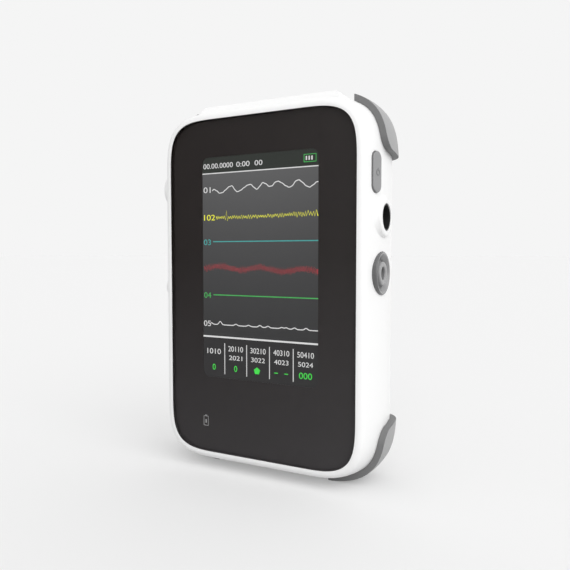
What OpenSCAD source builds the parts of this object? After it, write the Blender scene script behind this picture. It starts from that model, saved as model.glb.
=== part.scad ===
/* [Window panel] */
// Width of the black front panel
panel_w = 72.4; // [68:0.1:78]
// Height of the black front panel
panel_h = 118.8; // [112:0.1:126]
// Size of the rounded corner of the front panel
corner_r = 21.2; // [16:0.1:24]
// Fullness of the corner curve, 2 is a plain circle
corner_power = 4; // [3:0.1:5]
// Loss of fullness of the corner curve for each millimetre the outline is grown
corner_ease = 0.12; // [0:0.01:0.14]
// Thickness of the clear cover lens
lens_t = 1.1; // [0.8:0.1:1.6]
// Thickness of the printed black mask behind the lens
mask_t = 0.15; // [0.1:0.05:0.3]
// Thickness of the adhesive frame that holds the lens
tape_t = 0.2; // [0.1:0.05:0.4]
// Gap between the lens edge and its pocket
lens_gap = 0.1; // [0.05:0.05:0.2]

/* [Case] */
// Depth of the case without the feet, front to back
case_d = 25; // [23:0.5:30]
// Reach of the case wall beyond the front panel on each side
bulge = 4.7; // [4.2:0.1:6]
// Radius of the barrel curve of the side walls
barrel_r = 52; // [45:1:70]
// Depth at which the side walls stand out farthest
barrel_depth = 16; // [14:0.5:17]
// Radius of the front edge
front_edge_r = 2.5; // [2:0.1:2.8]
// Radius of the rear edge
rear_edge_r = 3; // [2.2:0.1:3.4]
// Thickness of the side walls
wall = 2; // [1.6:0.1:2.4]
// Thickness of the ribs inside the case
rib_t = 1.2; // [0.8:0.1:1.4]
// Thickness of the ledge behind the lens
ledge_t = 1.4; // [1:0.1:1.8]
// Thickness of the rear cover's plate
cover_t = 2; // [1.6:0.1:2.4]
// Distance of the rear face behind the joint line between the shell and the rear cover
seam_back = 3; // [3:0.1:3.6]
// Width of the rear cover's tongue
tongue_w = 1.2; // [1:0.1:1.6]
// Height of the rear cover's tongue
tongue_h = 1.2; // [1:0.1:1.4]
// Gap round the tongue
tongue_gap = 0.1; // [0.05:0.05:0.2]
// Thickness of the sealing gasket
gasket_t = 0.6; // [0.4:0.1:0.8]
// Thickness of the shelf the gasket lies on
shelf_t = 1; // [0.8:0.1:1.4]

/* [Top pad] */
// Width of the raised pad on the top side
pad_w = 52; // [44:0.5:56]
// Height of the raised pad above the case
pad_h = 1.8; // [1:0.1:2.4]
// Depth at which the pad begins
pad_depth = 8; // [7:0.5:9]
// Length of the sloping ends of the pad
pad_slope = 1.4; // [1.2:0.1:3]
// Height left at the foot of the sloping ends, sunk in the case
pad_toe = 0.6; // [0.4:0.1:0.8]
// Bevel of the pad's rear edge
pad_bevel = 0.2; // [0.1:0.1:0.4]

/* [Corner guards] */
// Height of the guards above the case
guard_proud = 2.5; // [1.8:0.1:3]
// Depth of the guards' front edge at the corner
guard_depth = 10.4; // [9.5:0.1:12]
// Reach of the guards along the long sides
guard_side_reach = 19.7; // [16:0.1:24]
// Radius of the sweep of the front edge
guard_sweep_r = 5.5; // [4:0.1:8]
// Slope of the tail of the sweep in degrees
guard_tail_angle = 8; // [4:1:20]
// Reach of the upper guards along the top side
guard_top_reach = 9.7; // [8:0.1:11]
// Reach of the lower guards along the bottom side
guard_bottom_reach = 18.4; // [16:0.1:20]
// Width of the guards' lip on the rear face
guard_lip_w = 6; // [4:0.5:8]
// Height of the guards' lip above the rear face, as a foot
guard_foot = 1; // [0.6:0.1:1.6]
// Height of the flat sole cut on the lower guards
sole_cut = 0.6; // [0.4:0.1:0.8]

/* [Display] */
// Width of the visible screen
screen_w = 45.5; // [40:0.1:47]
// Height of the visible screen
screen_h = 78.4; // [70:0.1:79]
// Distance of the screen's centre to the right of the panel's centre, less than 0 to the left
screen_x = -0.1; // [-0.6:0.1:0.6]
// Distance of the screen's centre above the panel's centre
screen_up = 7; // [4:0.1:7.5]
// Corner radius of the visible screen
screen_r = 2.4; // [1:0.1:4]
// Border of the display glass round the visible screen
screen_border = 1.7; // [1:0.1:2.5]
// Thickness of the display glass
display_t = 1.6; // [1.2:0.1:2]
// Thickness of the backlight frame
backlight_t = 1.4; // [1:0.1:2]
// Width of the display's ribbon
ribbon_w = 14; // [10:0.5:18]
// Thickness of the display's ribbon
ribbon_t = 0.2; // [0.15:0.05:0.3]
// Length of each flat end of the ribbon
ribbon_flat = 4; // [3:0.5:6]

/* [Power button] */
// Length of the button
button_l = 13.2; // [11:0.1:15]
// Width of the button
button_w = 5; // [4:0.1:5.4]
// Height of the button above the case wall
button_proud = 0.7; // [0.3:0.1:1]
// Travel of the button
button_travel = 0.5; // [0.3:0.05:0.6]
// Depth of the button's centre
button_depth = 6.8; // [6.5:0.1:7.2]
// Distance of the button above the panel's centre
button_up = 38.1; // [36:0.1:40]
// Gap round the button
button_gap = 0.15; // [0.1:0.05:0.25]
// Width of the button's retaining flange outside its edge
button_flange = 1; // [0.8:0.1:1.2]
// Thickness of the retaining flange
button_flange_t = 1; // [0.8:0.1:1.2]
// Radius of the switch plunger
plunger_r = 1.2; // [0.8:0.1:1.4]
// Length of the switch plunger
plunger_l = 2.8; // [2.2:0.1:3.2]
// Width, depth and height of the switch body
switch_size = 5; // [4.5:0.1:5.4]
// Reach of the switch body in front of the button's centre
switch_front = 1.6; // [1.4:0.1:2]
// Length of the plunger that stays in the switch with the button pressed out
plunger_sunk = 0.6; // [0.4:0.1:0.8]
// Gap round the plunger in the switch
plunger_gap = 0.05; // [0.03:0.01:0.08]

/* [Airflow port] */
// Outer radius of the port's flange
port_r = 7.1; // [6.4:0.1:7.6]
// Height of the flange's rim above the case wall
port_proud = 0.5; // [0.3:0.1:0.8]
// Thickness of the flange at its rim
port_flange_t = 1.6; // [1.2:0.1:2]
// Radius of the port's threaded stem
port_stem_r = 4.9; // [4.5:0.1:5.2]
// Depth of the dish round the hub
port_dish = 1.8; // [1.2:0.1:2.2]
// Radius of the port's hub
hub_r = 3.9; // [3.5:0.1:4.2]
// Spread of the hub from its top to its foot
hub_spread = 0.3; // [0.1:0.1:0.4]
// Width of the flat floor of the dish
dish_floor_w = 1; // [0.6:0.1:1.2]
// Width of the flat top of the rim
rim_w = 0.4; // [0.2:0.1:0.6]
// Bevel of the rim and of the hub's edges
port_bevel = 0.4; // [0.2:0.1:0.5]
// Radius of the hub's bore
hub_bore_r = 2.1; // [1.9:0.05:2.4]
// Length of the hub's bore
hub_bore_l = 7; // [6:0.5:8]
// Radius of the barbs that hold the inner tube
barb_r = 1.6; // [1.4:0.1:1.8]
// Radius of the bore through the barbs
barb_bore_r = 0.8; // [0.6:0.1:1]
// Length of each barb
barb_l = 5; // [4:0.5:6]
// Distance between the tips of the two barbs
barb_gap = 1.5; // [1:0.1:2]
// Wall of the inner tube
tube_wall = 0.8; // [0.6:0.1:1]
// Length of barb left free behind each end of the tube
tube_free = 0.5; // [0.3:0.1:0.8]
// Width of the pressure sensor
sensor_w = 10; // [8:0.5:11]
// Height of the pressure sensor
sensor_h = 12; // [10:0.5:14]
// Thickness of the pressure sensor
sensor_t = 5; // [4:0.1:5.4]
// Depth of the port's centre
port_depth = 12; // [11.5:0.1:13]
// Distance of the port above the panel's centre
port_up = 5.7; // [2:0.1:7]
// Thickness of the case wall under the port's flange
port_wall = 1.2; // [1:0.1:1.5]
// Thickness of the port's nut
nut_t = 2.2; // [1.8:0.1:3]
// Width of the nut's flats outside the stem
nut_w = 1.3; // [1.1:0.1:1.5]
// Thickness of the port's sealing ring
port_seal_t = 1; // [0.8:0.1:1.2]

/* [Round sockets] */
// Radius of the round sensor sockets
socket_r = 4.5; // [3.8:0.1:4.8]
// Depth of the round sockets from the mouth
socket_l = 12; // [10:0.5:12]
// Gap between a socket's sleeve and the hole in the case
sleeve_gap = 0.1; // [0.05:0.05:0.2]
// Wall of the sleeve that lines the hole in the case
sleeve_t = 0.4; // [0.3:0.1:0.6]
// Distance of the sleeve's rim below the top of the boss
sleeve_sunk = 0.3; // [0.2:0.1:0.6]
// Step from the socket's bore to the narrower chamber of the contact pins
cup_step = 0.2; // [0.1:0.1:0.4]
// Wall of the socket cups
cup_wall = 1; // [0.8:0.1:1.2]
// Thickness of the floor of the socket cups
cup_floor_t = 1.5; // [1:0.1:2]
// Width of the flange of the socket cups
cup_flange = 0.7; // [0.5:0.1:0.7]
// Thickness of the flange of the socket cups
cup_flange_t = 1.2; // [0.8:0.1:1.6]
// Radius of the raised boss at its top
boss_r = 6.5; // [6.2:0.05:6.8]
// Spread of the boss from its top to its foot
boss_spread = 0.9; // [0.4:0.1:1.2]
// Height of the boss on the right side
right_boss_proud = 1; // [0.6:0.1:1.5]
// Height of the boss on the left side
left_boss_proud = 2.5; // [1.5:0.1:2.5]
// Radius of a contact pin
pin_r = 0.35; // [0.25:0.05:0.45]
// Length of a contact pin inside its socket
pin_l = 3.5; // [2:0.5:6]
// Distance of the pins' tips below the step of the bore
pin_clear = 0.1; // [0.1:0.1:0.5]
// Radius of the ring of contact pins
pin_ring_r = 2.5; // [2:0.1:3]
// Number of contact pins in a round socket
pin_count = 6; // [4:1:8]
// Distance between the right socket's boss and the joint line
right_boss_clear = 1.5; // [1.1:0.1:1.7]
// Distance of the right socket above the panel's centre
right_socket_up = 24.1; // [22.5:0.1:25]
// Depth of the left socket's centre
left_socket_depth = 11.4; // [11.2:0.1:12.5]
// Distance of the left socket above the panel's centre
left_socket_up = 36.3; // [33:0.1:38]

/* [Belt jack] */
// Radius of the raised boss of the jack
jack_boss_r = 3.6; // [3.4:0.1:4]
// Height of the jack's boss
jack_boss_proud = 2; // [1:0.1:2.4]
// Radius of the jack's hole
jack_r = 1.8; // [1.5:0.1:2]
// Radius of the jack's barrel behind the wall
jack_barrel_r = 3; // [2.6:0.1:3.2]
// Length of the jack's hole
jack_l = 12; // [10:0.5:13]
// Thickness of the floor behind the jack's hole
jack_floor_t = 1; // [0.8:0.1:1.4]
// Depth of the jack's centre
jack_depth = 8.8; // [8.6:0.1:9.4]
// Distance of the jack above the panel's centre
jack_up = -0.4; // [-4:0.1:4]

/* [Charging socket] */
// Width of the charging socket's metal shell
usb_w = 8.9; // [8.7:0.1:9.2]
// Height of the charging socket's metal shell
usb_t = 3.2; // [3:0.1:3.4]
// Length of the charging socket's metal shell
usb_l = 7.4; // [6.5:0.1:8]
// Thickness of the charging socket's metal shell
usb_wall = 0.3; // [0.2:0.05:0.4]
// Gap round the charging socket in the case
usb_gap = 0.25; // [0.15:0.05:0.4]
// Thickness of the closed end of the charging socket
usb_floor_t = 1; // [0.8:0.1:1.4]
// Width of the charging socket's contact tongue
usb_tongue_w = 6.6; // [6:0.1:6.8]
// Thickness of the charging socket's contact tongue
usb_tongue_t = 0.7; // [0.6:0.05:0.9]
// Distance of the contact tongue's tip inside the mouth
usb_tongue_sunk = 0.6; // [0.4:0.1:1]

/* [Main board] */
// Gap between the main board's long edges and the cup of the right socket
board_side_gap = 0.9; // [0.8:0.1:2]
// Half height of the main board
board_half_h = 59.5; // [58:0.1:60]
// Thickness of the main board
board_t = 1.2; // [0.8:0.1:1.4]
// Depth of the main board's front face
board_depth = 8.2; // [8:0.1:8.6]
// Spacing of the board screws across the case
board_screw_w = 44; // [40:0.5:46]
// Spacing of the board screws along the case
board_screw_h = 104.6; // [103:0.2:105.6]
// Radius of the board standoffs
standoff_r = 2.4; // [2:0.1:2.6]
// Thickness of the chips
chip_t = 1.2; // [0.8:0.1:1.6]
// Gap between the wireless module and the head of the board screw next to it
wireless_clear = 0.5; // [0.5:0.1:1]
// Thickness of the wireless module
wireless_t = 2; // [1.6:0.1:2.4]
// Thickness of the position sensor and of the microphone
small_chip_t = 1; // [0.8:0.1:1.2]

/* [Battery] */
// Width of the battery
battery_w = 48; // [40:0.5:50]
// Height of the battery
battery_h = 58; // [50:0.5:62]
// Gap between the battery and the pressure sensor in front of it
battery_clear = 1; // [0.8:0.1:2]
// Thickness of the battery's adhesive pad
battery_pad_t = 0.4; // [0.3:0.1:0.6]
// Distance of the battery's centre below the panel's centre
battery_down = 12; // [6:0.5:14]
// Corner radius of the battery
battery_corner_r = 2; // [1:0.1:4]
// Distance of the pad's edge inside the battery's edge
battery_pad_inset = 4; // [2:0.5:8]
// Gap round the battery between its four angles
fence_gap = 0.15; // [0.1:0.05:0.3]
// Height of the angles at the battery's corners
fence_h = 3; // [2:0.5:5]
// Length of each leg of the angles inside the battery's edge
fence_leg = 8; // [5:0.5:12]

/* [Fasteners] */
// Spacing of the case screws across the case
screw_w = 62; // [60:0.5:63]
// Spacing of the case screws along the case
screw_h = 98; // [96:0.5:100]
// Radius of the case screws' thread
screw_r = 1; // [0.8:0.1:1.2]
// Radius of the case screws' head
head_r = 2; // [1.8:0.1:2.2]
// Height of the case screws' head
head_t = 1.2; // [1:0.1:1.4]
// Distance of the screw heads below the rear face, and the gap round them
head_sink = 0.2; // [0.1:0.05:0.3]
// Length of the cross cut in the screw heads
drive_l = 2.2; // [1.8:0.1:2.6]
// Width of the cross cut in the screw heads
drive_w = 0.5; // [0.3:0.1:0.6]
// Gap round the screws in their clearance holes
screw_gap = 0.15; // [0.1:0.05:0.25]
// Length of the case screws under the head
screw_l = 6; // [5:0.5:7]
// Radius of the posts that take the case screws
post_r = 3.2; // [3:0.1:3.6]
// Radius of the threaded inserts
insert_r = 1.7; // [1.5:0.1:1.9]
// Length of the threaded inserts
insert_l = 4; // [3:0.5:5]
// Length of the board screws under the head
board_screw_l = 5; // [4:0.5:5]

/* [Sound holes] */
// Distance of the row of sound holes above the panel's centre
sound_hole_up = 34; // [28:0.5:40]
// Spacing of the sound holes
sound_hole_pitch = 3; // [2:0.1:4]
// Radius of a sound hole
sound_hole_r = 0.6; // [0.4:0.1:0.9]
// Number of sound holes
sound_hole_count = 5; // [3:1:7]

/* [Hidden] */
$fn = 64;

// Smoothness of the curved walls
corner_steps = 12;
edge_steps = 5;
barrel_steps = 5;
eps = 0.01;
far = 200;

// Places worked out from the sizes above
seam_depth = case_d - seam_back;
panel_half_w = panel_w / 2;
panel_half_h = panel_h / 2;
case_half_w = panel_half_w + bulge;
case_half_h = panel_half_h + bulge;
front_y = -(case_d + guard_foot) / 2;
mid_z = case_half_h + guard_proud - sole_cut;
mask_depth = lens_t;
tape_depth = mask_depth + mask_t;
ledge_depth = tape_depth + tape_t;
void_depth = ledge_depth + ledge_t;
cover_inner_depth = case_d - cover_t;
display_w = screen_w + 2 * screen_border;
display_h = screen_h + 2 * screen_border;
backlight_depth = ledge_depth + display_t;
backlight_back = backlight_depth + backlight_t;
board_back = board_depth + board_t;
usb_depth = board_back + usb_t / 2;
pad_top = case_half_h + pad_h;
usb_mouth = pad_top - wall;
shelf_depth = seam_depth - tongue_h - gasket_t;
battery_back = cover_inner_depth - battery_pad_t;
battery_t = battery_back - board_back - sensor_t - battery_clear;
right_socket_depth = seam_depth - right_boss_clear - boss_r - boss_spread;

// Outlines of the chips on the board, each as distance to the right, distance up, width and height
processor_box = [-12, 24, 12, 12];
memory_box = [8, 26, 8, 14];
wireless_w = 13;
wireless_box = [-board_screw_w / 2 + head_r + wireless_clear + wireless_w / 2, 44, wireless_w, 17];
position_box = [0, 6, 3, 3];
microphone_box = [16, 40, 4, 3];

// The three tangent arcs of the side wall: front edge, barrel, rear edge
barrel_hub = bulge - barrel_r;
front_angle = asin((barrel_depth - front_edge_r) / (barrel_r - front_edge_r));
rear_angle = asin((case_d - rear_edge_r - barrel_depth) / (barrel_r - rear_edge_r));
front_hub = barrel_hub + (barrel_r - front_edge_r) * cos(front_angle);
rear_hub = barrel_hub + (barrel_r - rear_edge_r) * cos(rear_angle);
front_tangent = front_edge_r * (1 - sin(front_angle));
rear_tangent = case_d - rear_edge_r * (1 - sin(rear_angle));

// Height of a circle of radius r over its centre, at a distance x from the centre line
function arc_rise(r, x) = sqrt(max(r * r - x * x, 0));

// Distance of the case wall outside the panel's edge, at a depth behind the front
function wall_offset(depth) =
    depth < front_tangent ? front_hub + arc_rise(front_edge_r, front_edge_r - depth)
    : depth > rear_tangent ? rear_hub + arc_rise(rear_edge_r, depth - case_d + rear_edge_r)
    : barrel_hub + arc_rise(barrel_r, barrel_depth - depth);

// Distance of the right case wall from the centre line, at a depth behind the front
function side_x(depth) = panel_half_w + wall_offset(depth);

// Plane of the wall's inner seat at the button, outer and inner plane of the button's flange at rest
button_seat = side_x(button_depth) - wall;
button_flange_x = button_seat - lens_gap;
plunger_x = button_flange_x - button_flange_t;
switch_x = plunger_x - plunger_l + button_travel + plunger_sunk;

// Plane on which the port's flange sits, the plane inside the wall under it and the port's rim
port_seat = side_x(port_depth) + port_proud - port_flange_t;
port_inner_seat = port_seat - port_wall;
port_rim = port_seat + port_flange_t;
// Floor of the port's bore, inner end of its stem and tip of the sensor's barb that faces it
hub_floor = port_rim - hub_bore_l;
port_stem_end = hub_floor - barb_bore_r;
sensor_barb_x = port_stem_end - 2 * barb_l - barb_gap;
// Radius of the sealing ring and of the nut's flats, and the radius over the nut's corners
port_seal_r = port_stem_r + nut_w;
nut_r = port_seal_r / cos(30);

// Outer radius of a socket cup, of its flange and of its sleeve, and radius of its bore
cup_r = socket_r + cup_wall;
cup_flange_r = cup_r + cup_flange;
sleeve_r = socket_r - sleeve_gap;
socket_bore_r = sleeve_r - sleeve_t;
// Planes inside the wall on which the socket cups and the jack sit, one below the lowest wall there
right_cup_seat = side_x(right_socket_depth - cup_flange_r) - wall / 2;
left_cup_seat = side_x(left_socket_depth - cup_flange_r) - wall / 2;
jack_seat = side_x(jack_depth - jack_barrel_r) - wall / 2;
// Mouths of the two sockets and of the jack, and half the width of the board between the cups
right_mouth = case_half_w + right_boss_proud;
left_mouth = case_half_w + left_boss_proud;
jack_mouth = case_half_w + jack_boss_proud;
board_half_w = right_mouth - socket_l - cup_floor_t - board_side_gap;

// Width of the shelf, which reaches as far inwards as the tongue
shelf_w = wall_offset(shelf_depth) - wall_offset(seam_depth) + tongue_gap + tongue_w;

// Depths that follow the front edge, the barrel and the rear edge of the wall
front_depths = [for (i = [0:edge_steps]) front_edge_r * (1 - sin(90 - (90 - front_angle) * i / edge_steps))];
barrel_depths = [for (i = [1:barrel_steps - 1])
    front_tangent + (rear_tangent - front_tangent) * i / barrel_steps];
rear_depths = [for (i = [0:edge_steps])
    case_d - rear_edge_r * (1 - sin(rear_angle + (90 - rear_angle) * i / edge_steps))];
all_depths = concat(front_depths, barrel_depths, rear_depths);

// The part of those depths between two depths, with both ends added
function depths_between(low, high) =
    concat([low], [for (d = all_depths) if (d > low + 0.2 && d < high - 0.2) d], [high]);

// Point on one full corner of the outline, where t runs from 0 to 90 degrees
function corner_point(t, half_w, half_h, r, power) = [
    half_w - r + r * pow(cos(t), 2 / power),
    half_h - r + r * pow(sin(t), 2 / power)
];

// The panel's outline, grown outwards on all sides with a rounder corner, x across and y up
function outline(grow) =
    let (
        step = 90 / corner_steps,
        power = corner_power - corner_ease * grow,
        rise = [for (i = [0:corner_steps])
            corner_point(i * step, panel_half_w + grow, panel_half_h + grow, corner_r + grow, power)],
        fall = [for (i = [corner_steps:-1:0]) rise[i]]
    )
    concat(rise, [for (p = fall) [-p[0], p[1]]], [for (p = rise) -p], [for (p = fall) [p[0], -p[1]]]);

// Solid through a list of stations, each a depth and how far the outline is grown there
module loft(stations) {
    rings = [for (s = stations) outline(s[1])];
    n = len(rings[0]);
    last = len(stations) - 1;
    points = [for (i = [0:last]) for (p = rings[i]) [p[0], front_y + stations[i][0], mid_z + p[1]]];
    sides = [for (i = [0:last - 1]) for (j = [0:n - 1])
        [i * n + j, i * n + (j + 1) % n, (i + 1) * n + (j + 1) % n, (i + 1) * n + j]];
    front = [[for (j = [n - 1:-1:0]) j]];
    back = [[for (j = [0:n - 1]) last * n + j]];
    polyhedron(points, concat(sides, front, back), convexity = 6);
}

// Extrudes a drawing on the face, x across and y up, from one depth to another
module slab(from, to) {
    translate([0, front_y + to, mid_z]) rotate([90, 0, 0])
        linear_extrude(to - from, convexity = 6) children();
}

// Extrudes a drawing seen from the right side, x is depth and y is up, from one x to another
module side_slab(from, to) {
    translate([from, front_y, mid_z]) rotate([90, 0, 90])
        linear_extrude(to - from, convexity = 6) children();
}

// Turns an upright solid so that it points out of the right side, at a depth and a height
module on_right(depth, up) {
    translate([0, front_y + depth, mid_z + up]) rotate([0, 90, 0]) children();
}

// The same for the left side
module on_left(depth, up) {
    mirror([1, 0, 0]) on_right(depth, up) children();
}

// Cylinder between two distances from the centre plane
module rod(r, from, to) {
    translate([0, 0, from]) cylinder(r = r, h = to - from);
}

// Flat shape with two round ends, with its length along y
module stadium(length, width) {
    straight = length - width;
    square([width, straight], center = true);
    for (side = [-1, 1]) translate([0, side * straight / 2]) circle(width / 2);
}

// Rectangle with four round corners
module round_rect(w, h, r) {
    square([w, h - 2 * r], center = true);
    square([w - 2 * r, h], center = true);
    for (x = [-1, 1], y = [-1, 1]) translate([x * (w / 2 - r), y * (h / 2 - r)]) circle(r);
}

// Outline of the power button seen from the right side, grown by an amount
module button_outline(grow) {
    translate([button_depth, button_up]) stadium(button_l + 2 * grow, button_w + 2 * grow);
}

// One child at each corner of a rectangle on the face
module at_corners(w, h) {
    for (x = [-1, 1], y = [-1, 1]) translate([x * w / 2, y * h / 2]) children();
}

// Block that stands on the board's back, with an outline as distance to the right, up, width, height
module board_block(box, height) {
    slab(board_back, board_back + height)
        translate([box[0], box[1]]) square([box[2], box[3]], center = true);
}

// Flat ring that follows the outline at a depth, from the wall's inner face inwards
module rim_ring(depth, gap, width) {
    difference() {
        polygon(outline(wall_offset(depth) - wall - gap));
        polygon(outline(wall_offset(depth) - wall - gap - width));
    }
}

// Outer form of the case between two depths, grown by an amount
module case_form(low, high, grow = 0) {
    loft([for (d = depths_between(low, high)) [d, wall_offset(d) + grow]]);
}

// Outer form of the whole case through the depths of both halves, as the guards lie on it
module case_block() {
    rear = [for (d = depths_between(seam_depth, case_d)) if (d > seam_depth) d];
    loft([for (d = concat(depths_between(0, seam_depth), rear)) [d, wall_offset(d)]]);
}

// Hollow of the case, one wall inside the outer form
module case_hollow(high) {
    loft([for (i = [0:4]) let (d = void_depth + (high - void_depth) * i / 4) [d, wall_offset(d) - wall]]);
}

// Raised pad on the top side with a sloping front and sloping ends
module top_pad() {
    foot_x = pad_w / 2 + pad_slope;
    base = case_half_h - pad_h;
    intersection() {
        slab(pad_depth - pad_slope, seam_depth) polygon([
            [-foot_x, base], [foot_x, base], [foot_x, case_half_h - pad_toe],
            [pad_w / 2, pad_top], [-pad_w / 2, pad_top], [-foot_x, case_half_h - pad_toe]
        ]);
        side_slab(-foot_x, foot_x) polygon([
            [pad_depth - pad_slope, base], [seam_depth, base], [seam_depth, pad_top - pad_bevel],
            [seam_depth - pad_bevel, pad_top], [pad_depth, pad_top]
        ]);
    }
}

// Boss of a side socket, a little wider at its foot than at its top
module boss(r, spread, depth, proud) {
    top = case_half_w + proud;
    foot = side_x(depth) - wall;
    translate([0, 0, foot]) cylinder(r = r + spread, h = side_x(depth) - foot);
    translate([0, 0, side_x(depth) - eps]) cylinder(r1 = r + spread, r2 = r, h = top - side_x(depth) + eps);
}

module front_shell() {
    color("white") difference() {
        union() {
            difference() {
                union() {
                    case_form(0, seam_depth);
                    top_pad();
                }
                case_hollow(seam_depth + eps);
            }
            on_right(right_socket_depth, right_socket_up)
                boss(boss_r, boss_spread, right_socket_depth, right_boss_proud);
            on_left(left_socket_depth, left_socket_up)
                boss(boss_r, 0, left_socket_depth, left_boss_proud);
            on_left(jack_depth, jack_up) boss(jack_boss_r, 0, jack_depth, jack_boss_proud);
            slab(void_depth - eps, seam_depth) at_corners(screw_w, screw_h) circle(post_r);
            slab(void_depth - eps, board_depth) at_corners(board_screw_w, board_screw_h) circle(standoff_r);
            slab(void_depth - eps, backlight_back) translate([screen_x, screen_up])
                square([display_w + 2 * rib_t, display_h + 2 * rib_t], center = true);
            slab(shelf_depth - shelf_t, shelf_depth) rim_ring(shelf_depth, -eps, shelf_w);
        }
        slab(-1, ledge_depth) polygon(outline(0));
        slab(0, backlight_back + 1) translate([screen_x, screen_up])
            square([display_w + 2 * lens_gap, display_h + 2 * lens_gap], center = true);
        slab(void_depth, backlight_back + 1) translate([screen_x, screen_up - display_h / 2])
            square([ribbon_w + 2, 2 * rib_t + 1], center = true);
        slab(seam_depth - insert_l, seam_depth + 1) at_corners(screw_w, screw_h) circle(insert_r);
        slab(seam_depth - screw_l, seam_depth) at_corners(screw_w, screw_h) circle(screw_r + screw_gap);
        slab(board_back - board_screw_l, board_depth + eps)
            at_corners(board_screw_w, board_screw_h) circle(screw_r);
        side_slab(button_seat, far) button_outline(button_gap);
        side_slab(board_half_w, button_seat) button_outline(button_flange + button_gap);
        on_right(port_depth, port_up) {
            rod(port_stem_r + screw_gap, board_half_w, far);
            rod(port_r + lens_gap, port_seat, far);
            rod(nut_r + screw_gap, board_half_w, port_inner_seat);
        }
        on_right(right_socket_depth, right_socket_up) {
            rod(socket_r, board_half_w, far);
            rod(cup_flange_r + lens_gap, board_half_w, right_cup_seat);
        }
        on_left(left_socket_depth, left_socket_up) {
            rod(socket_r, board_half_w, far);
            rod(cup_flange_r + lens_gap, board_half_w, left_cup_seat);
        }
        on_left(jack_depth, jack_up) {
            rod(jack_r, board_half_w, far);
            rod(jack_barrel_r + lens_gap, board_half_w, jack_seat);
        }
        usb_opening();
    }
}

// Flat oval of the charging socket, grown by an amount
module usb_oval(grow) {
    rotate([0, 0, 90]) stadium(usb_w + 2 * grow, usb_t + 2 * grow);
}

// Places a drawing over the charging socket's centre and extrudes it downwards from a height
module usb_down(top, length) {
    translate([0, front_y + usb_depth, mid_z + top - length])
        linear_extrude(length, convexity = 4) children();
}

// Slot through the wall and the pad for the charging socket
module usb_opening() {
    usb_down(pad_top + 1, 2 * pad_h + wall + 2) usb_oval(usb_gap);
}

module rear_cover() {
    color("white") difference() {
        union() {
            difference() {
                case_form(seam_depth, case_d);
                loft([for (d = [seam_depth - eps, cover_inner_depth])
                    [d, wall_offset(seam_depth) - wall - tongue_gap - tongue_w]]);
            }
            slab(seam_depth - tongue_h, seam_depth + eps) rim_ring(seam_depth, tongue_gap, tongue_w);
            slab(seam_depth + eps, cover_inner_depth + eps) at_corners(screw_w, screw_h) circle(post_r);
            slab(cover_inner_depth - fence_h, cover_inner_depth + eps) translate([0, -battery_down])
                battery_fence();
        }
        slab(seam_depth - tongue_h - eps, seam_depth)
            at_corners(screw_w, screw_h) circle(post_r + lens_gap);
        slab(0, case_d + 1) at_corners(screw_w, screw_h) circle(screw_r + screw_gap);
        slab(case_d - head_t - head_sink, case_d + 1)
            at_corners(screw_w, screw_h) circle(head_r + head_sink);
        slab(cover_inner_depth - eps, case_d + 1) sound_holes();
    }
}

// Four angles that hold the battery at its corners
module battery_fence() {
    w = battery_w + 2 * fence_gap;
    h = battery_h + 2 * fence_gap;
    difference() {
        square([w + 2 * rib_t, h + 2 * rib_t], center = true);
        square([w, h], center = true);
        square([battery_w - 2 * fence_leg, far], center = true);
        square([far, battery_h - 2 * fence_leg], center = true);
    }
}

// Row of small round holes across the face
module sound_holes() {
    for (i = [0:sound_hole_count - 1])
        translate([(i - (sound_hole_count - 1) / 2) * sound_hole_pitch, sound_hole_up]) circle(sound_hole_r);
}

module case_gasket() {
    color("dimgray") slab(shelf_depth, shelf_depth + gasket_t) difference() {
        rim_ring(seam_depth, tongue_gap, tongue_w);
        at_corners(screw_w, screw_h) circle(post_r + lens_gap);
    }
}

module cover_lens() {
    color([0.08, 0.08, 0.09, 0.4]) slab(0, lens_t) polygon(outline(-lens_gap));
}

module lens_mask() {
    color([0.1, 0.1, 0.1]) slab(mask_depth, mask_depth + mask_t) difference() {
        polygon(outline(-lens_gap));
        translate([screen_x, screen_up]) round_rect(screen_w, screen_h, screen_r);
    }
}

module lens_tape() {
    color("black") slab(tape_depth, tape_depth + tape_t) difference() {
        polygon(outline(-lens_gap));
        translate([screen_x, screen_up])
            square([display_w + 2 * lens_gap, display_h + 2 * lens_gap], center = true);
    }
}

module display_panel() {
    color([0.25, 0.26, 0.27]) slab(tape_depth + eps, backlight_depth) translate([screen_x, screen_up])
        square([display_w, display_h], center = true);
}

module display_backlight() {
    color("silver") slab(backlight_depth, backlight_back) translate([screen_x, screen_up])
        square([display_w, display_h], center = true);
}

module display_ribbon() {
    bend_r = (board_depth - backlight_back) / 2;
    bend_up = screen_up - display_h / 2 - 1;
    x0 = screen_x - ribbon_w / 2;
    color("orange") side_slab(x0, x0 + ribbon_w) {
        translate([backlight_back + bend_r, bend_up]) difference() {
            circle(bend_r);
            circle(bend_r - ribbon_t);
            translate([-far / 2, 0]) square([far, far]);
        }
        translate([backlight_back, bend_up]) square([ribbon_t, ribbon_flat + 1]);
        translate([board_depth - ribbon_t, bend_up]) square([ribbon_t, ribbon_flat]);
    }
}

// Flat region behind the guards' swept front edge, x is depth and y is up
module guard_sweep() {
    centre = [guard_depth + guard_sweep_r, case_half_h - guard_side_reach + guard_tail_rise];
    tail = centre + guard_sweep_r * [-sin(guard_tail_angle), -cos(guard_tail_angle)];
    run = case_d + guard_foot + 1 - tail[0];
    translate(centre) circle(guard_sweep_r);
    translate([guard_depth, centre[1]]) square([far, far]);
    polygon([tail, tail + [run, -run * tan(guard_tail_angle)], [tail[0] + run, centre[1] + 1], centre]);
}
guard_tail_rise = guard_sweep_r * cos(guard_tail_angle)
    + (case_d - guard_depth - guard_sweep_r * (1 - sin(guard_tail_angle))) * tan(guard_tail_angle);

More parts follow.
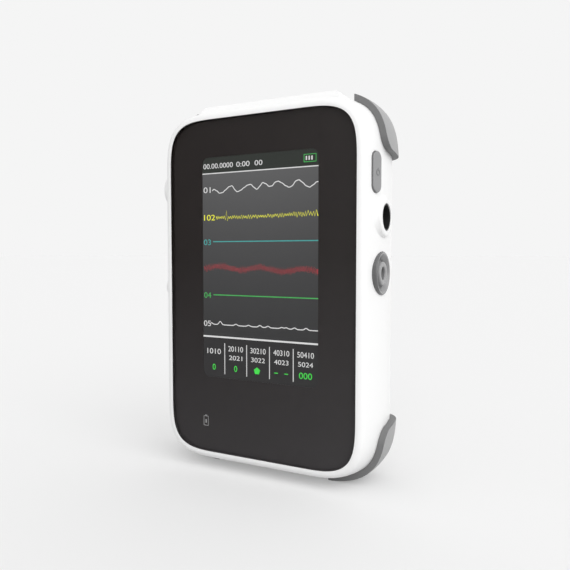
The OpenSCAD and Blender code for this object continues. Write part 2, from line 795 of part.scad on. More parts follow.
// Growth of the guards' outer face at a depth
function guard_offset(depth) = barrel_hub + guard_proud + arc_rise(barrel_r, barrel_depth - depth);

// Depths and growth of the guards' outer face, with a rounder rear edge than the case has
guard_edge_r = rear_edge_r + guard_foot + 1;
guard_back = case_d + guard_foot;
guard_edge_depth = guard_back - guard_edge_r;
guard_depths = concat(
    [for (i = [0:2]) guard_depth - 1 + (barrel_depth - guard_depth + 1) * i / 2],
    [for (i = [1:2]) barrel_depth + (guard_edge_depth - barrel_depth) * i / 2]
);
guard_stations = concat(
    [for (d = guard_depths) [d, guard_offset(d)]],
    [for (i = [1:edge_steps]) let (a = 90 * i / edge_steps)
        [guard_edge_depth + guard_edge_r * sin(a),
         guard_offset(guard_edge_depth) - guard_edge_r * (1 - cos(a))]]
);

// The upper right guard, which ends a given distance inside the case's side
module guard(reach) {
    color("gray") intersection() {
        difference() {
            loft(guard_stations);
            case_block();
            slab(case_d - eps, guard_back + 1) polygon(outline(bulge - guard_lip_w));
        }
        side_slab(case_half_w - reach, far) guard_sweep();
    }
}

// Turns an upper guard into a lower one with a flat sole
module lower_guard() {
    difference() {
        translate([0, 0, 2 * mid_z]) mirror([0, 0, 1]) guard(guard_bottom_reach);
        translate([-far / 2, -far / 2, -far]) cube(far);
    }
}

module guard_top_right() {
    guard(guard_top_reach);
}

module guard_top_left() {
    mirror([1, 0, 0]) guard(guard_top_reach);
}

module guard_bottom_right() {
    lower_guard();
}

module guard_bottom_left() {
    mirror([1, 0, 0]) lower_guard();
}

module power_button() {
    tilt = asin((barrel_depth - button_depth) / barrel_r);
    color("darkgray") {
        difference() {
            side_slab(button_flange_x - eps, case_half_w + button_proud + 1) button_outline(0);
            translate([side_x(button_depth) + button_proud, front_y + button_depth, mid_z + button_up])
                rotate([0, 0, -tilt]) translate([0, -far / 2, -far / 2]) cube(far);
        }
        side_slab(button_flange_x - button_flange_t, button_flange_x) button_outline(button_flange);
    }
}

module switch_plunger() {
    color("ivory") on_right(button_depth, button_up) rod(plunger_r, plunger_x - plunger_l, plunger_x);
}

module power_switch() {
    color("dimgray") difference() {
        side_slab(switch_x - switch_size, switch_x)
            translate([button_depth - switch_front, button_up - switch_size / 2])
                square([board_depth - button_depth + switch_front, switch_size]);
        on_right(button_depth, button_up)
            rod(plunger_r + plunger_gap, plunger_x - plunger_l - button_travel - lens_gap, far);
    }
}

module airflow_port() {
    dish = port_rim - port_dish;
    dish_r = hub_r + hub_spread;
    color("gray") on_right(port_depth, port_up) rotate_extrude() polygon([
        [hub_bore_r, hub_floor], [hub_bore_r, port_rim - port_bevel], [hub_bore_r + port_bevel, port_rim],
        [hub_r - port_bevel, port_rim], [hub_r, port_rim - port_bevel],
        [dish_r, dish], [dish_r + dish_floor_w, dish],
        [port_r - port_bevel - rim_w, port_rim], [port_r - port_bevel, port_rim],
        [port_r, port_rim - port_bevel], [port_r, port_seat], [port_stem_r, port_seat],
        [port_stem_r, port_stem_end],
        [barb_r, port_stem_end], [barb_r, port_stem_end - barb_l],
        [barb_bore_r, port_stem_end - barb_l], [barb_bore_r, hub_floor]
    ]);
}

module port_seal() {
    color("black") on_right(port_depth, port_up) difference() {
        rod(port_seal_r, port_inner_seat - port_seal_t, port_inner_seat);
        rod(port_stem_r, 0, far);
    }
}

module port_nut() {
    color("silver") on_right(port_depth, port_up) difference() {
        translate([0, 0, port_inner_seat - port_seal_t - nut_t]) cylinder(r = nut_r, h = nut_t, $fn = 6);
        rod(port_stem_r, 0, far);
    }
}

module airflow_tube() {
    color([0.8, 0.85, 0.9, 0.6]) on_right(port_depth, port_up) difference() {
        rod(barb_r + tube_wall, sensor_barb_x + tube_free, port_stem_end - tube_free);
        rod(barb_r, 0, far);
    }
}

module pressure_sensor() {
    color("dimgray") {
        board_block([sensor_barb_x - sensor_w / 2, port_up, sensor_w, sensor_h], sensor_t);
        on_right(port_depth, port_up) difference() {
            rod(barb_r, sensor_barb_x - eps, sensor_barb_x + barb_l);
            rod(barb_bore_r, sensor_barb_x, far);
        }
    }
}

// Black cup of a round socket: flange against the wall, sleeve through the case's hole, stepped bore
module socket_cup(seat, mouth) {
    floor_x = mouth - socket_l;
    difference() {
        union() {
            rod(cup_flange_r, seat - cup_flange_t, seat);
            rod(cup_r, floor_x - cup_floor_t, seat);
            rod(sleeve_r, seat - eps, mouth - sleeve_sunk);
        }
        rod(socket_bore_r - cup_step, floor_x, far);
        rod(socket_bore_r, floor_x + pin_l + pin_clear, far);
    }
}

// Ring of contact pins that stand on a socket's floor
module socket_pins(floor_x) {
    for (i = [0:pin_count - 1]) rotate([0, 0, 360 * i / pin_count]) translate([pin_ring_r, 0])
        rod(pin_r, floor_x, floor_x + pin_l);
}

module right_socket() {
    color([0.06, 0.06, 0.06]) on_right(right_socket_depth, right_socket_up)
        socket_cup(right_cup_seat, right_mouth);
}

module right_socket_pins() {
    color("gold") on_right(right_socket_depth, right_socket_up) socket_pins(right_mouth - socket_l);
}

module left_socket() {
    color([0.06, 0.06, 0.06]) on_left(left_socket_depth, left_socket_up)
        socket_cup(left_cup_seat, left_mouth);
}

module left_socket_pins() {
    color("gold") on_left(left_socket_depth, left_socket_up) socket_pins(left_mouth - socket_l);
}

module belt_jack() {
    floor_x = jack_mouth - jack_l;
    color([0.08, 0.08, 0.08]) on_left(jack_depth, jack_up) difference() {
        rod(jack_barrel_r, floor_x - jack_floor_t, jack_seat);
        rod(jack_r, floor_x, far);
    }
}

module charging_socket() {
    color("silver") {
        usb_down(usb_mouth, usb_l) difference() {
            usb_oval(0);
            usb_oval(-usb_wall);
        }
        usb_down(usb_mouth - usb_l + usb_floor_t, usb_floor_t) usb_oval(0);
        usb_down(usb_mouth - usb_tongue_sunk, usb_l - usb_tongue_sunk - usb_floor_t + eps)
            square([usb_tongue_w, usb_tongue_t], center = true);
    }
}

// Outline of the main board with a tab that carries the power switch
module board_outline() {
    tab_h = switch_size + 1;
    square([2 * board_half_w, 2 * board_half_h], center = true);
    translate([0, button_up - tab_h / 2]) square([switch_x, tab_h]);
}

module main_board() {
    color("darkgreen") slab(board_depth, board_back) difference() {
        board_outline();
        at_corners(board_screw_w, board_screw_h) circle(screw_r + screw_gap);
    }
}

module processor() {
    color([0.1, 0.1, 0.1]) board_block(processor_box, chip_t);
}

module memory_chip() {
    color([0.12, 0.12, 0.12]) board_block(memory_box, chip_t);
}

module wireless_module() {
    color("silver") board_block(wireless_box, wireless_t);
}

module position_sensor() {
    color([0.15, 0.15, 0.15]) board_block(position_box, small_chip_t);
}

module microphone() {
    color("gold") board_block(microphone_box, small_chip_t);
}

module battery() {
    color("lightsteelblue") slab(battery_back - battery_t, battery_back)
        translate([0, -battery_down]) round_rect(battery_w, battery_h, battery_corner_r);
}

module battery_pad() {
    color("lightyellow") slab(battery_back, cover_inner_depth) translate([0, -battery_down])
        square([battery_w - 2 * battery_pad_inset, battery_h - 2 * battery_pad_inset], center = true);
}

module case_screws() {
    head_top = case_d - head_sink;
    color("silver") {
        slab(head_top - head_t, head_top) at_corners(screw_w, screw_h) difference() {
            circle(head_r);
            square([drive_l, drive_w], center = true);
            square([drive_w, drive_l], center = true);
        }
        slab(head_top - head_t - screw_l, head_top - head_t + eps)
            at_corners(screw_w, screw_h) circle(screw_r);
    }
}

module case_inserts() {
    color("gold") slab(seam_depth - insert_l, seam_depth) at_corners(screw_w, screw_h) difference() {
        circle(insert_r);
        circle(screw_r);
    }
}

module board_screws() {
    color("silver") {
        slab(board_back, board_back + head_t)
            at_corners(board_screw_w, board_screw_h) circle(head_r);
        slab(board_back - board_screw_l, board_back + eps)
            at_corners(board_screw_w, board_screw_h) circle(screw_r);
    }
}

front_shell();
rear_cover();
case_gasket();
cover_lens();
lens_mask();
lens_tape();
display_panel();
display_backlight();
display_ribbon();
guard_top_left();
guard_top_right();
guard_bottom_left();
guard_bottom_right();
power_button();
switch_plunger();
power_switch();
airflow_port();
port_seal();
port_nut();
airflow_tube();
pressure_sensor();
right_socket();
right_socket_pins();
left_socket();
left_socket_pins();
belt_jack();
charging_socket();
main_board();
processor();
memory_chip();
wireless_module();
position_sensor();
microphone();
battery();
battery_pad();
case_screws();
case_inserts();
board_screws();
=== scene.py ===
"""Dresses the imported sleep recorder: smooth outer forms, a lit screen, finishes, studio and camera."""

import logging
import math
import random
from collections.abc import Callable, Iterator
from contextlib import contextmanager
from dataclasses import dataclass
from enum import Enum

import bmesh
import bpy
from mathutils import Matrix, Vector


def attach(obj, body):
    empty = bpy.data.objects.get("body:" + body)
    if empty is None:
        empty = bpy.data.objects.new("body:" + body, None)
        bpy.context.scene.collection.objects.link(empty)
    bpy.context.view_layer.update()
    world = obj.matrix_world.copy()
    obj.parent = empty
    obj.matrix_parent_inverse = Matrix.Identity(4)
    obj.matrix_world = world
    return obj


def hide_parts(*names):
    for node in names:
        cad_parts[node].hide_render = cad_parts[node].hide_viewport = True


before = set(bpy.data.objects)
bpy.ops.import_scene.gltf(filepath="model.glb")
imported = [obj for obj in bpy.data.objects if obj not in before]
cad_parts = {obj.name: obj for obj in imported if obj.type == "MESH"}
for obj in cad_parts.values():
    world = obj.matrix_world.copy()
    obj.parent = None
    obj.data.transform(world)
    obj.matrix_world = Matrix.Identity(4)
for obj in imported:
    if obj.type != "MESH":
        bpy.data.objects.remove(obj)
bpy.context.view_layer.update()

Pair = tuple[float, float]
Triple = tuple[float, float, float]
Piece = bpy.types.Object
Socket = bpy.types.NodeSocket

MM = 0.001
FULL_TURN = 2 * math.pi
BLACK_GLASS = 0.12
# Face attribute that marks the faces which get a painted shade tone
PAINTED_SHADE_FACES = "painted_shade_faces"
RIGHT = Vector((1, 0, 0))
REAR = Vector((0, 1, 0))
UP = Vector((0, 0, 1))
log = logging.getLogger("recorder")

# Tolerances in metres
MERGE = 1e-6
LEVEL = 1e-7

# Height of the panel's centre, and of the screen's two rules over it, in millimetres
MID_Z = 66.0
HEADER_UP = 40.57
FOOTER_UP = -17.55


class Body(Enum):
    """CAD bodies that pieces move with."""

    CASE = "case"
    BUTTON = "button"


class Boolean(Enum):
    """What a boolean does with a piece and a tool."""

    CUT = "DIFFERENCE"
    ADD = "UNION"
    KEEP = "INTERSECT"


# Shader tools
class Wire:
    """A shader socket on which sums are written as in Python."""

    def __init__(self, graph: "Graph", socket: Socket) -> None:
        """Keeps the node tree and the socket."""
        self.graph = graph
        self.socket = socket

    def _math(self, operation: str, first: "Wire | float", second: "Wire | float") -> "Wire":
        """Result of one Math node with two values or wires."""
        node = self.graph.node("ShaderNodeMath", {0: first, 1: second}, operation=operation)
        return Wire(self.graph, node.outputs[0])

    def __add__(self, other: "Wire | float") -> "Wire":
        """Sum."""
        return self._math("ADD", self, other)

    def __radd__(self, other: "Wire | float") -> "Wire":
        """Sum with a number on the left."""
        return self._math("ADD", other, self)

    def __sub__(self, other: "Wire | float") -> "Wire":
        """Difference."""
        return self._math("SUBTRACT", self, other)

    def __rsub__(self, other: "Wire | float") -> "Wire":
        """Difference with a number on the left."""
        return self._math("SUBTRACT", other, self)

    def __mul__(self, other: "Wire | float") -> "Wire":
        """Product."""
        return self._math("MULTIPLY", self, other)

    def __rmul__(self, other: "Wire | float") -> "Wire":
        """Product with a number on the left."""
        return self._math("MULTIPLY", other, self)

    def __gt__(self, other: "Wire | float") -> "Wire":
        """One where this is larger, else zero."""
        return self._math("GREATER_THAN", self, other)

    def __lt__(self, other: "Wire | float") -> "Wire":
        """One where this is smaller, else zero."""
        return self._math("LESS_THAN", self, other)

    def fraction(self) -> "Wire":
        """The part behind the point."""
        return self._math("FRACT", self, 0.0)

    def run(self, start: float, end: float) -> "Wire":
        """Zero where this has the value of the start, and one where it has that of the end."""
        return (self - start) * (1 / (end - start))


class Graph:
    """Node tree of one material, or of the world."""

    def __init__(self, name: str, world: bpy.types.World | None = None) -> None:
        """Empties the tree of a world, or of a new material.

        Args:
            name: Name of the new material.
            world: The world, for its own tree.
        """
        self.owner = world or bpy.data.materials.new(name)
        self.owner.use_nodes = True
        self.tree = self.owner.node_tree
        self.tree.nodes.clear()

    def node(self, kind: str, inputs: dict[int | str, object] | None = None,
             **settings: object) -> bpy.types.Node:
        """Adds any node.

        Args:
            kind: Type name of the node.
            inputs: Values, wires or sockets by name or number.
            settings: Properties of the node, set first.

        Returns:
            The new node.
        """
        node = self.tree.nodes.new(kind)
        for key, value in settings.items():
            setattr(node, key, value)
        for key, value in (inputs or {}).items():
            value = value.socket if isinstance(value, Wire) else value
            if isinstance(value, Socket):
                self.tree.links.new(value, node.inputs[key])
            else:
                node.inputs[key].default_value = value
        return node

    def place(self) -> Socket:
        """The place on the object, in metres."""
        return self.node("ShaderNodeTexCoord").outputs["Object"]

    def across_and_up(self) -> tuple[Wire, Wire]:
        """Distances to the right and up from the panel's centre, in millimetres."""
        split = self.node("ShaderNodeSeparateXYZ", {0: self.place()})
        return Wire(self, split.outputs[0]) * (1 / MM), Wire(self, split.outputs[2]) * (1 / MM) - MID_Z

    def noise(self, size: float, detail: float = 3.0, stretch: Triple = (1, 1, 1)) -> Wire:
        """Soft noise.

        Args:
            size: Size of one cloud in millimetres.
            detail: Number of finer layers.
            stretch: How many times finer the pattern is along each axis.

        Returns:
            The noise as a wire around one half.
        """
        turned = self.node("ShaderNodeMapping", {"Vector": self.place(), "Scale": stretch})
        cloud = self.node(
            "ShaderNodeTexNoise",
            {"Vector": turned.outputs[0], "Scale": 1 / (size * MM), "Detail": detail, "Roughness": 0.6},
        )
        return Wire(self, cloud.outputs["Fac"])

    def blend(self, mask: Wire | Socket, low: Triple | Socket, high: Triple | Socket) -> Socket:
        """Mixes two colours.

        Args:
            mask: Share of the second colour.
            low: First colour or its socket.
            high: Second colour or its socket.

        Returns:
            The socket of the mixed colour.
        """
        ends = [(*c, 1.0) if isinstance(c, tuple) else c for c in (low, high)]
        return self.node("ShaderNodeMix", {0: mask, 6: ends[0], 7: ends[1]}, data_type="RGBA").outputs[2]

    def relief(self, height: Wire, depth: float) -> Socket:
        """Bump from a height of a depth in millimetres."""
        return self.node("ShaderNodeBump", {"Height": height, "Distance": depth * MM}).outputs[0]

    def paint(self, inputs: dict[int | str, object]) -> bpy.types.Material:
        """Closes the tree with one principled surface and returns the material."""
        return self.close(self.node("ShaderNodeBsdfPrincipled", inputs))

    def close(self, shader: bpy.types.Node, kind: str = "ShaderNodeOutputMaterial") -> bpy.types.ID:
        """Links a shader to the output and returns the material or the world."""
        self.node(kind, {"Surface": shader.outputs[0]})
        return self.owner


def toned(colour: Triple, factor: float) -> Triple:
    """A colour times a factor, no channel over one."""
    return tuple(min(c * factor, 1.0) for c in colour)


# Finishes
class Grain(Enum):
    """How the surface of a finish is worked: layers of noise and stretch along each axis."""

    MOULDED = (2.0, (1.0, 1.0, 1.0))
    SOFT = (6.0, (1.0, 1.0, 1.0))
    BRUSHED = (2.0, (0.08, 1.0, 1.0))
    FOIL = (5.0, (1.0, 1.0, 0.4))
    BOARD = (0.0, (1.0, 1.0, 6.0))
    STRIPES = ()


@dataclass(frozen=True)
class Finish:
    """A solid finish with its own colour clouds, gloss and relief, and a darker painted shade tone on the
    faces marked as shaded.
    """

    name: str
    colour: Triple
    shade: float = 0.06
    roughness: float = 0.45
    spread: float = 0.08
    metallic: float = 0.0
    coat: float = 0.0
    grain: Grain = Grain.MOULDED
    grain_size: float = 0.35
    grain_depth: float = 0.006
    # Darker tone painted on the faces marked as in shade
    band: Triple | None = None
    cloud_size: float = 9.0
    trace_above: float = 0.62
    trace_share: float = 0.8
    stripe_share: float = 0.6
    stripe_tone: float = 0.45

    def build(self) -> bpy.types.Material:
        """Makes the material.

        Returns:
            The finished material.
        """
        graph = Graph(self.name)
        clouds = graph.noise(self.cloud_size, 4.0)
        height = self._height(graph)
        colour = graph.blend(clouds, toned(self.colour, 1 - self.shade), toned(self.colour, 1 + self.shade))
        if self.grain is Grain.BOARD:
            trace = tuple(c * 1.9 + 0.01 for c in self.colour)
            colour = graph.blend((height > self.trace_above) * self.trace_share, colour, trace)
        if self.grain is Grain.STRIPES:
            colour = graph.blend(height * self.stripe_share, colour, toned(self.colour, self.stripe_tone))
        # Painted shade: the marked faces take the darker band tone
        if self.band:
            marked = graph.node("ShaderNodeAttribute", attribute_name=PAINTED_SHADE_FACES).outputs["Fac"]
            colour = graph.blend(marked, colour, self.band)
        return graph.paint({
            "Base Color": colour,
            "Roughness": (clouds - 0.5) * (2 * self.spread) + self.roughness + (height - 0.5) * self.spread,
            "Metallic": self.metallic,
            "Coat Weight": self.coat,
            "Normal": graph.relief(height, self.grain_depth),
        })

    def _height(self, graph: Graph) -> Wire:
        """Makes the relief's height by the kind of grain.

        Args:
            graph: The material's node tree.

        Returns:
            The height as a wire.
        """
        if self.grain is Grain.STRIPES:
            return (graph.across_and_up()[0] * (1 / self.grain_size)).fraction() > 0.5
        return graph.noise(self.grain_size, *self.grain.value)


@dataclass(frozen=True)
class ClearLens:
    """Clear coated window: see-through from the front, with a gloss that grows at flat angles."""

    name: str = "clear_lens"
    index: float = 1.5
    onset: float = 0.048

    def build(self) -> bpy.types.Material:
        """Makes the material.

        Returns:
            The finished material.
        """
        graph = Graph(self.name)
        gloss = graph.node(
            "ShaderNodeBsdfPrincipled",
            {"Base Color": (1, 1, 1, 1), "Metallic": 1.0, "Roughness": 0.02 + graph.noise(22.0) * 0.05},
        )
        clear = graph.node("ShaderNodeBsdfTransparent", {"Color": (1, 1, 1, 1)})
        facing = Wire(graph, graph.node("ShaderNodeFresnel", {"IOR": self.index}).outputs[0])
        behind = Wire(graph, graph.node("ShaderNodeNewGeometry").outputs["Backfacing"])
        share = (facing - self.onset) * (1 - behind)
        ends = {0: share, 1: clear.outputs[0], 2: gloss.outputs[0]}
        return graph.close(graph.node("ShaderNodeMixShader", ends))


@dataclass(frozen=True)
class LitScreen:
    """Backlit screen: a header, a plot field that darkens downwards and to its sides, and a footer, whose
    tones also carry a small painted reflection level.
    """

    name: str = "lit_screen"
    half_w: float = 22.75
    # Emission tones: the screen's own glow plus a small painted reflection level
    header: Triple = (0.028, 0.032, 0.028)
    field_top: Triple = (0.110, 0.110, 0.112)
    field_foot: Triple = (0.038, 0.038, 0.039)
    footer: Triple = (0.029, 0.028, 0.029)
    foot_share: float = 0.31
    curve: float = 0.66
    side_fall: float = 0.08
    grid_size: float = 0.25
    grid_share: float = 0.04

    def build(self) -> bpy.types.Material:
        """Makes the material.

        Returns:
            The finished material.
        """
        graph = Graph(self.name)
        across, up = graph.across_and_up()
        sideways = across * (1 / self.half_w)
        fall = up.run(FOOTER_UP, HEADER_UP)
        grid = graph.noise(self.grid_size, 0.0)
        slope = fall * self.curve + self.foot_share - sideways * sideways * self.side_fall
        share = fall * slope + (grid - 0.5) * self.grid_share
        field = graph.blend(share, self.field_foot, self.field_top)
        edge = graph.blend(up > HEADER_UP, self.footer, self.header)
        return graph.paint({
            "Base Color": (0.004, 0.004, 0.004, 1),
            "Roughness": 0.3 + grid * 0.05,
            "Specular IOR Level": BLACK_GLASS,
            "Emission Color": graph.blend((up < HEADER_UP) * (up > FOOTER_UP), edge, field),
            "Emission Strength": 1.0,
        })


@dataclass(frozen=True)
class MaskInkWithPaintedReflection:
    """Black ink behind the lens, with a painted reflection that makes it a little paler towards its foot and
    its right side.
    """

    name: str = "mask_ink_painted_reflection"
    # Tones of the ink plus a flat painted reflection level
    head: Triple = (0.0160, 0.0125, 0.0118)
    foot: Triple = (0.0356, 0.0326, 0.0338)
    reflection_lift: float = 0.010
    reflection_fade_up: Pair = (12.0, -59.0)
    reflection_fade_across: Pair = (-32.0, 34.0)
    cloud_size: float = 14.0
    cloud_share: float = 0.06

    def build(self) -> bpy.types.Material:
        """Makes the material.

        Returns:
            The finished material.
        """
        graph = Graph(self.name)
        across, up = graph.across_and_up()
        clouds = graph.noise(self.cloud_size)
        # Painted reflection: paler towards the foot and towards the right side
        share = up.run(*self.reflection_fade_up) + (clouds - 0.5) * self.cloud_share
        left = graph.blend(share, self.head, self.foot)
        right = graph.blend(share, *(tuple(c + self.reflection_lift for c in tone) for tone in (self.head, self.foot)))
        return graph.paint({
            "Base Color": graph.blend(across.run(*self.reflection_fade_across), left, right),
            "Roughness": 0.3 + clouds * 0.08,
            "Specular IOR Level": BLACK_GLASS,
        })


@dataclass(frozen=True)
class LitStroke:
    """A drawn mark of the screen, lit from behind, a little uneven along its length."""

    name: str
    colour: Triple
    unevenness: float = 0.35
    patch_size: float = 1.1

    def build(self) -> bpy.types.Material:
        """Makes the material.

        Returns:
            The finished material.
        """
        graph = Graph(self.name)
        patches = graph.noise(self.patch_size, 2.0)
        return graph.paint({
            "Base Color": (0.02, 0.02, 0.02, 1),
            "Roughness": 0.4 + patches * 0.1,
            "Emission Color": graph.blend(patches, toned(self.colour, 1 - self.unevenness), self.colour),
            "Emission Strength": 1.0,
        })


FINISHES = {
    "shell": Finish("white_shell", (0.88, 0.88, 0.878), 0.008, 0.38, 0.05, grain_size=0.28,
                    grain_depth=0.003),
    # The band tones of the guard, button and port are painted shade on their marked faces
    "guard": Finish("soft_grey_guard", (0.345, 0.345, 0.347), 0.03, 0.5, grain=Grain.SOFT, grain_size=0.4,
                    band=(0.165, 0.165, 0.166)),
    "button": Finish("grey_button", (0.27, 0.27, 0.274), 0.04, 0.42, 0.06, band=(0.15, 0.15, 0.152)),
    "symbol": Finish("symbol_print", (0.16, 0.16, 0.165), 0.05, 0.5, 0.05),
    "port": Finish("grey_port", (0.27, 0.27, 0.273), 0.05, 0.26, 0.06, coat=0.3, grain_size=0.5,
                   band=(0.10, 0.10, 0.102)),
    "mask": MaskInkWithPaintedReflection(),
    "icon": Finish("printed_icon", (0.35, 0.35, 0.35), 0.1, 0.5, 0.05, grain_size=0.2, grain_depth=0.002),
    "black": Finish("black_moulding", (0.008, 0.008, 0.008), 0.2, 0.5),
    "dark": Finish("dark_moulding", (0.04, 0.04, 0.042), 0.15, 0.5),
    "tape": Finish("foam_tape", (0.02, 0.02, 0.02), 0.2, 0.8, 0.05, grain=Grain.SOFT, grain_size=0.5,
                   grain_depth=0.03),
    "frame": Finish("white_frame", (0.75, 0.75, 0.74), 0.04, 0.5, 0.05),
    "film": Finish("amber_film", (0.62, 0.30, 0.05), 0.1, 0.35, 0.05, grain=Grain.STRIPES, grain_size=0.9,
                   grain_depth=0.01),
    "seal": Finish("seal_rubber", (0.06, 0.06, 0.06), 0.15, 0.7, 0.06, grain=Grain.SOFT, grain_size=0.6,
                   grain_depth=0.012),
    "ivory": Finish("ivory_moulding", (0.74, 0.70, 0.58), 0.05, 0.45, 0.05),
    "tube": Finish("milky_tube", (0.72, 0.76, 0.8), 0.05, 0.35, 0.05),
    "plated": Finish("plated_nut", (0.62, 0.60, 0.56), 0.06, 0.3, metallic=1.0, grain=Grain.BRUSHED,
                     grain_size=0.3, grain_depth=0.004),
    "steel": Finish("plain_steel", (0.56, 0.56, 0.57), 0.08, 0.32, 0.1, metallic=1.0, grain=Grain.BRUSHED,
                    grain_size=0.25, grain_depth=0.004),
    "gold": Finish("gold_plate", (0.80, 0.55, 0.20), 0.06, 0.25, 0.06, metallic=1.0, grain=Grain.BRUSHED,
                   grain_size=0.25, grain_depth=0.002),
    "board": Finish("green_board", (0.012, 0.11, 0.045), 0.12, 0.3, 0.06, grain=Grain.BOARD, grain_size=3.2,
                    grain_depth=0.03),
    "foil": Finish("battery_foil", (0.55, 0.57, 0.6), 0.05, 0.38, 0.1, metallic=0.9, grain=Grain.FOIL,
                   grain_size=6.0, grain_depth=0.12),
    "cream": Finish("cream_foam", (0.72, 0.68, 0.46), 0.08, 0.8, 0.05, grain=Grain.SOFT, grain_size=0.7,
                    grain_depth=0.05),
    "lens": ClearLens(),
    "screen": LitScreen(),
    "white_stroke": LitStroke("white_stroke", (0.74, 0.74, 0.74), 0.25),
    "yellow_stroke": LitStroke("yellow_stroke", (1.0, 0.98, 0.02)),
    "teal_stroke": LitStroke("teal_stroke", (0.03, 0.38, 0.36)),
    "red_stroke": LitStroke("red_stroke", (0.40, 0.010, 0.022), 0.5),
    "green_stroke": LitStroke("green_stroke", (0.03, 0.45, 0.07)),
    "bright_green": LitStroke("bright_green", (0.03, 0.80, 0.05)),
}

# Finish of the CAD nodes that stay in view as they are
NODE_FINISHES = {
    "tape": ["lens_tape"],
    "seal": ["case_gasket", "port_seal"],
    "frame": ["display_backlight"],
    "film": ["display_ribbon"],
    "dark": ["power_switch", "pressure_sensor"],
    "ivory": ["switch_plunger"],
    "plated": ["port_nut"],
    "tube": ["airflow_tube"],
    "black": ["right_socket", "left_socket", "belt_jack", "processor", "memory_chip", "position_sensor"],
    "gold": ["right_socket_pins", "left_socket_pins", "microphone", "case_inserts"],
    "steel": ["charging_socket", "wireless_module", "board_screws", "case_screws"],
    "board": ["main_board"],
    "foil": ["battery"],
    "cream": ["battery_pad"],
    "screen": ["display_panel"],
}


# Curves and steps
def spaced(low: float, high: float, count: int) -> list[float]:
    """Even steps from one value to another, with both ends."""
    return [low + (high - low) * i / count for i in range(count + 1)]


def quarter(steps: int) -> list[float]:
    """Angles from zero to a right angle, with both ends."""
    return [math.radians(angle) for angle in spaced(0, 90, steps)]


def swung(start: Pair, bend: Pair, end: Pair, steps: int = 10) -> list[Pair]:
    """Points of a soft curve that leaves its start and reaches its end in the direction of a bend.

    Args:
        start: First point.
        bend: Point where the two end directions meet.
        end: Last point.
        steps: Number of steps.

    Returns:
        The points with both ends.
    """
    found = []
    for t in spaced(0, 1, steps):
        weights = ((1 - t) ** 2, 2 * t * (1 - t), t**2)
        found.append(tuple(sum(w * p[k] for w, p in zip(weights, (start, bend, end))) for k in (0, 1)))
    return found


@dataclass(frozen=True)
class CaseForm:
    """Outer form of the case, an outline grown along three tangent arcs, and the places of its fittings."""

    panel_w: float = 72.4
    panel_h: float = 118.8
    corner_r: float = 21.2
    fullness: float = 4.0
    ease: float = 0.12
    case_d: float = 25.0
    bulge: float = 4.7
    barrel_r: float = 52.0
    barrel_depth: float = 16.0
    front_edge_r: float = 2.5
    rear_edge_r: float = 3.0
    wall: float = 2.0
    seam_depth: float = 22.0
    ledge_depth: float = 1.45
    void_depth: float = 2.85
    front_y: float = -13.0
    corner_steps: int = 28
    edge_steps: int = 9
    lens_gap: float = 0.1
    screen_at: Pair = (-0.1, 7.0)
    button_at: Pair = (6.8, 38.1)
    port_at: Pair = (12.0, 5.7)
    port_seat: float = 39.646
    screw_pitch: Pair = (62.0, 98.0)

    @property
    def half_w(self) -> float:
        """Half the width over the case."""
        return self.panel_w / 2 + self.bulge

    @property
    def half_h(self) -> float:
        """Half the height over the case."""
        return self.panel_h / 2 + self.bulge

    @property
    def hub(self) -> float:
        """Centre of the barrel arc, beyond the panel's edge."""
        return self.bulge - self.barrel_r

    def barrel(self, depth: float) -> float:
        """Distance of the barrel arc outside the panel's edge at a depth."""
        return self.hub + math.sqrt(self.barrel_r**2 - (self.barrel_depth - depth) ** 2)

    def offset(self, depth: float) -> float:
        """Distance of the wall outside the panel's edge at a depth behind the front.

        Args:
            depth: Depth in millimetres.

        Returns:
            The distance in millimetres.
        """
        edges = (
            (self.front_edge_r, depth, self.barrel_depth),
            (self.rear_edge_r, self.case_d - depth, self.case_d - self.barrel_depth),
        )
        for radius, inwards, run in edges:
            swing = math.asin((run - radius) / (self.barrel_r - radius))
            if inwards < radius * (1 - math.sin(swing)):
                rise = math.sqrt(max(radius**2 - (radius - inwards) ** 2, 0))
                return self.hub + (self.barrel_r - radius) * math.cos(swing) + rise
        return self.barrel(depth)

    def side(self, depth: float) -> float:
        """Distance of the right wall from the centre plane at a depth."""
        return self.panel_w / 2 + self.offset(depth)

    def place(self, x: float, depth: float, up: float) -> Vector:
        """Point of the shared frame in millimetres, from a place seen on the front."""
        return Vector((x, self.front_y + depth, MID_Z + up))

    def depths(self, low: float, high: float, gap: float = 0.75, least: float = 0.02) -> list[float]:
        """Depths between two limits, close together on the two round edges.

        Args:
            low: First depth.
            high: Last depth.
            gap: Largest step on the barrel.
            least: Smallest step.

        Returns:
            The depths in order, with both limits.
        """
        found = {low, high}
        for swing in quarter(self.edge_steps):
            found.add(self.front_edge_r * (1 - math.cos(swing)))
            found.add(self.case_d - self.rear_edge_r * (1 - math.cos(swing)))
        middle = spaced(low, high, math.ceil((high - low) / gap))
        found |= {d for d in middle if self.front_edge_r < d < self.case_d - self.rear_edge_r}
        kept: list[float] = []
        for depth in sorted(d for d in found if low <= d <= high):
            if not kept or depth - kept[-1] > least:
                kept.append(depth)
        kept[-1] = high
        return kept


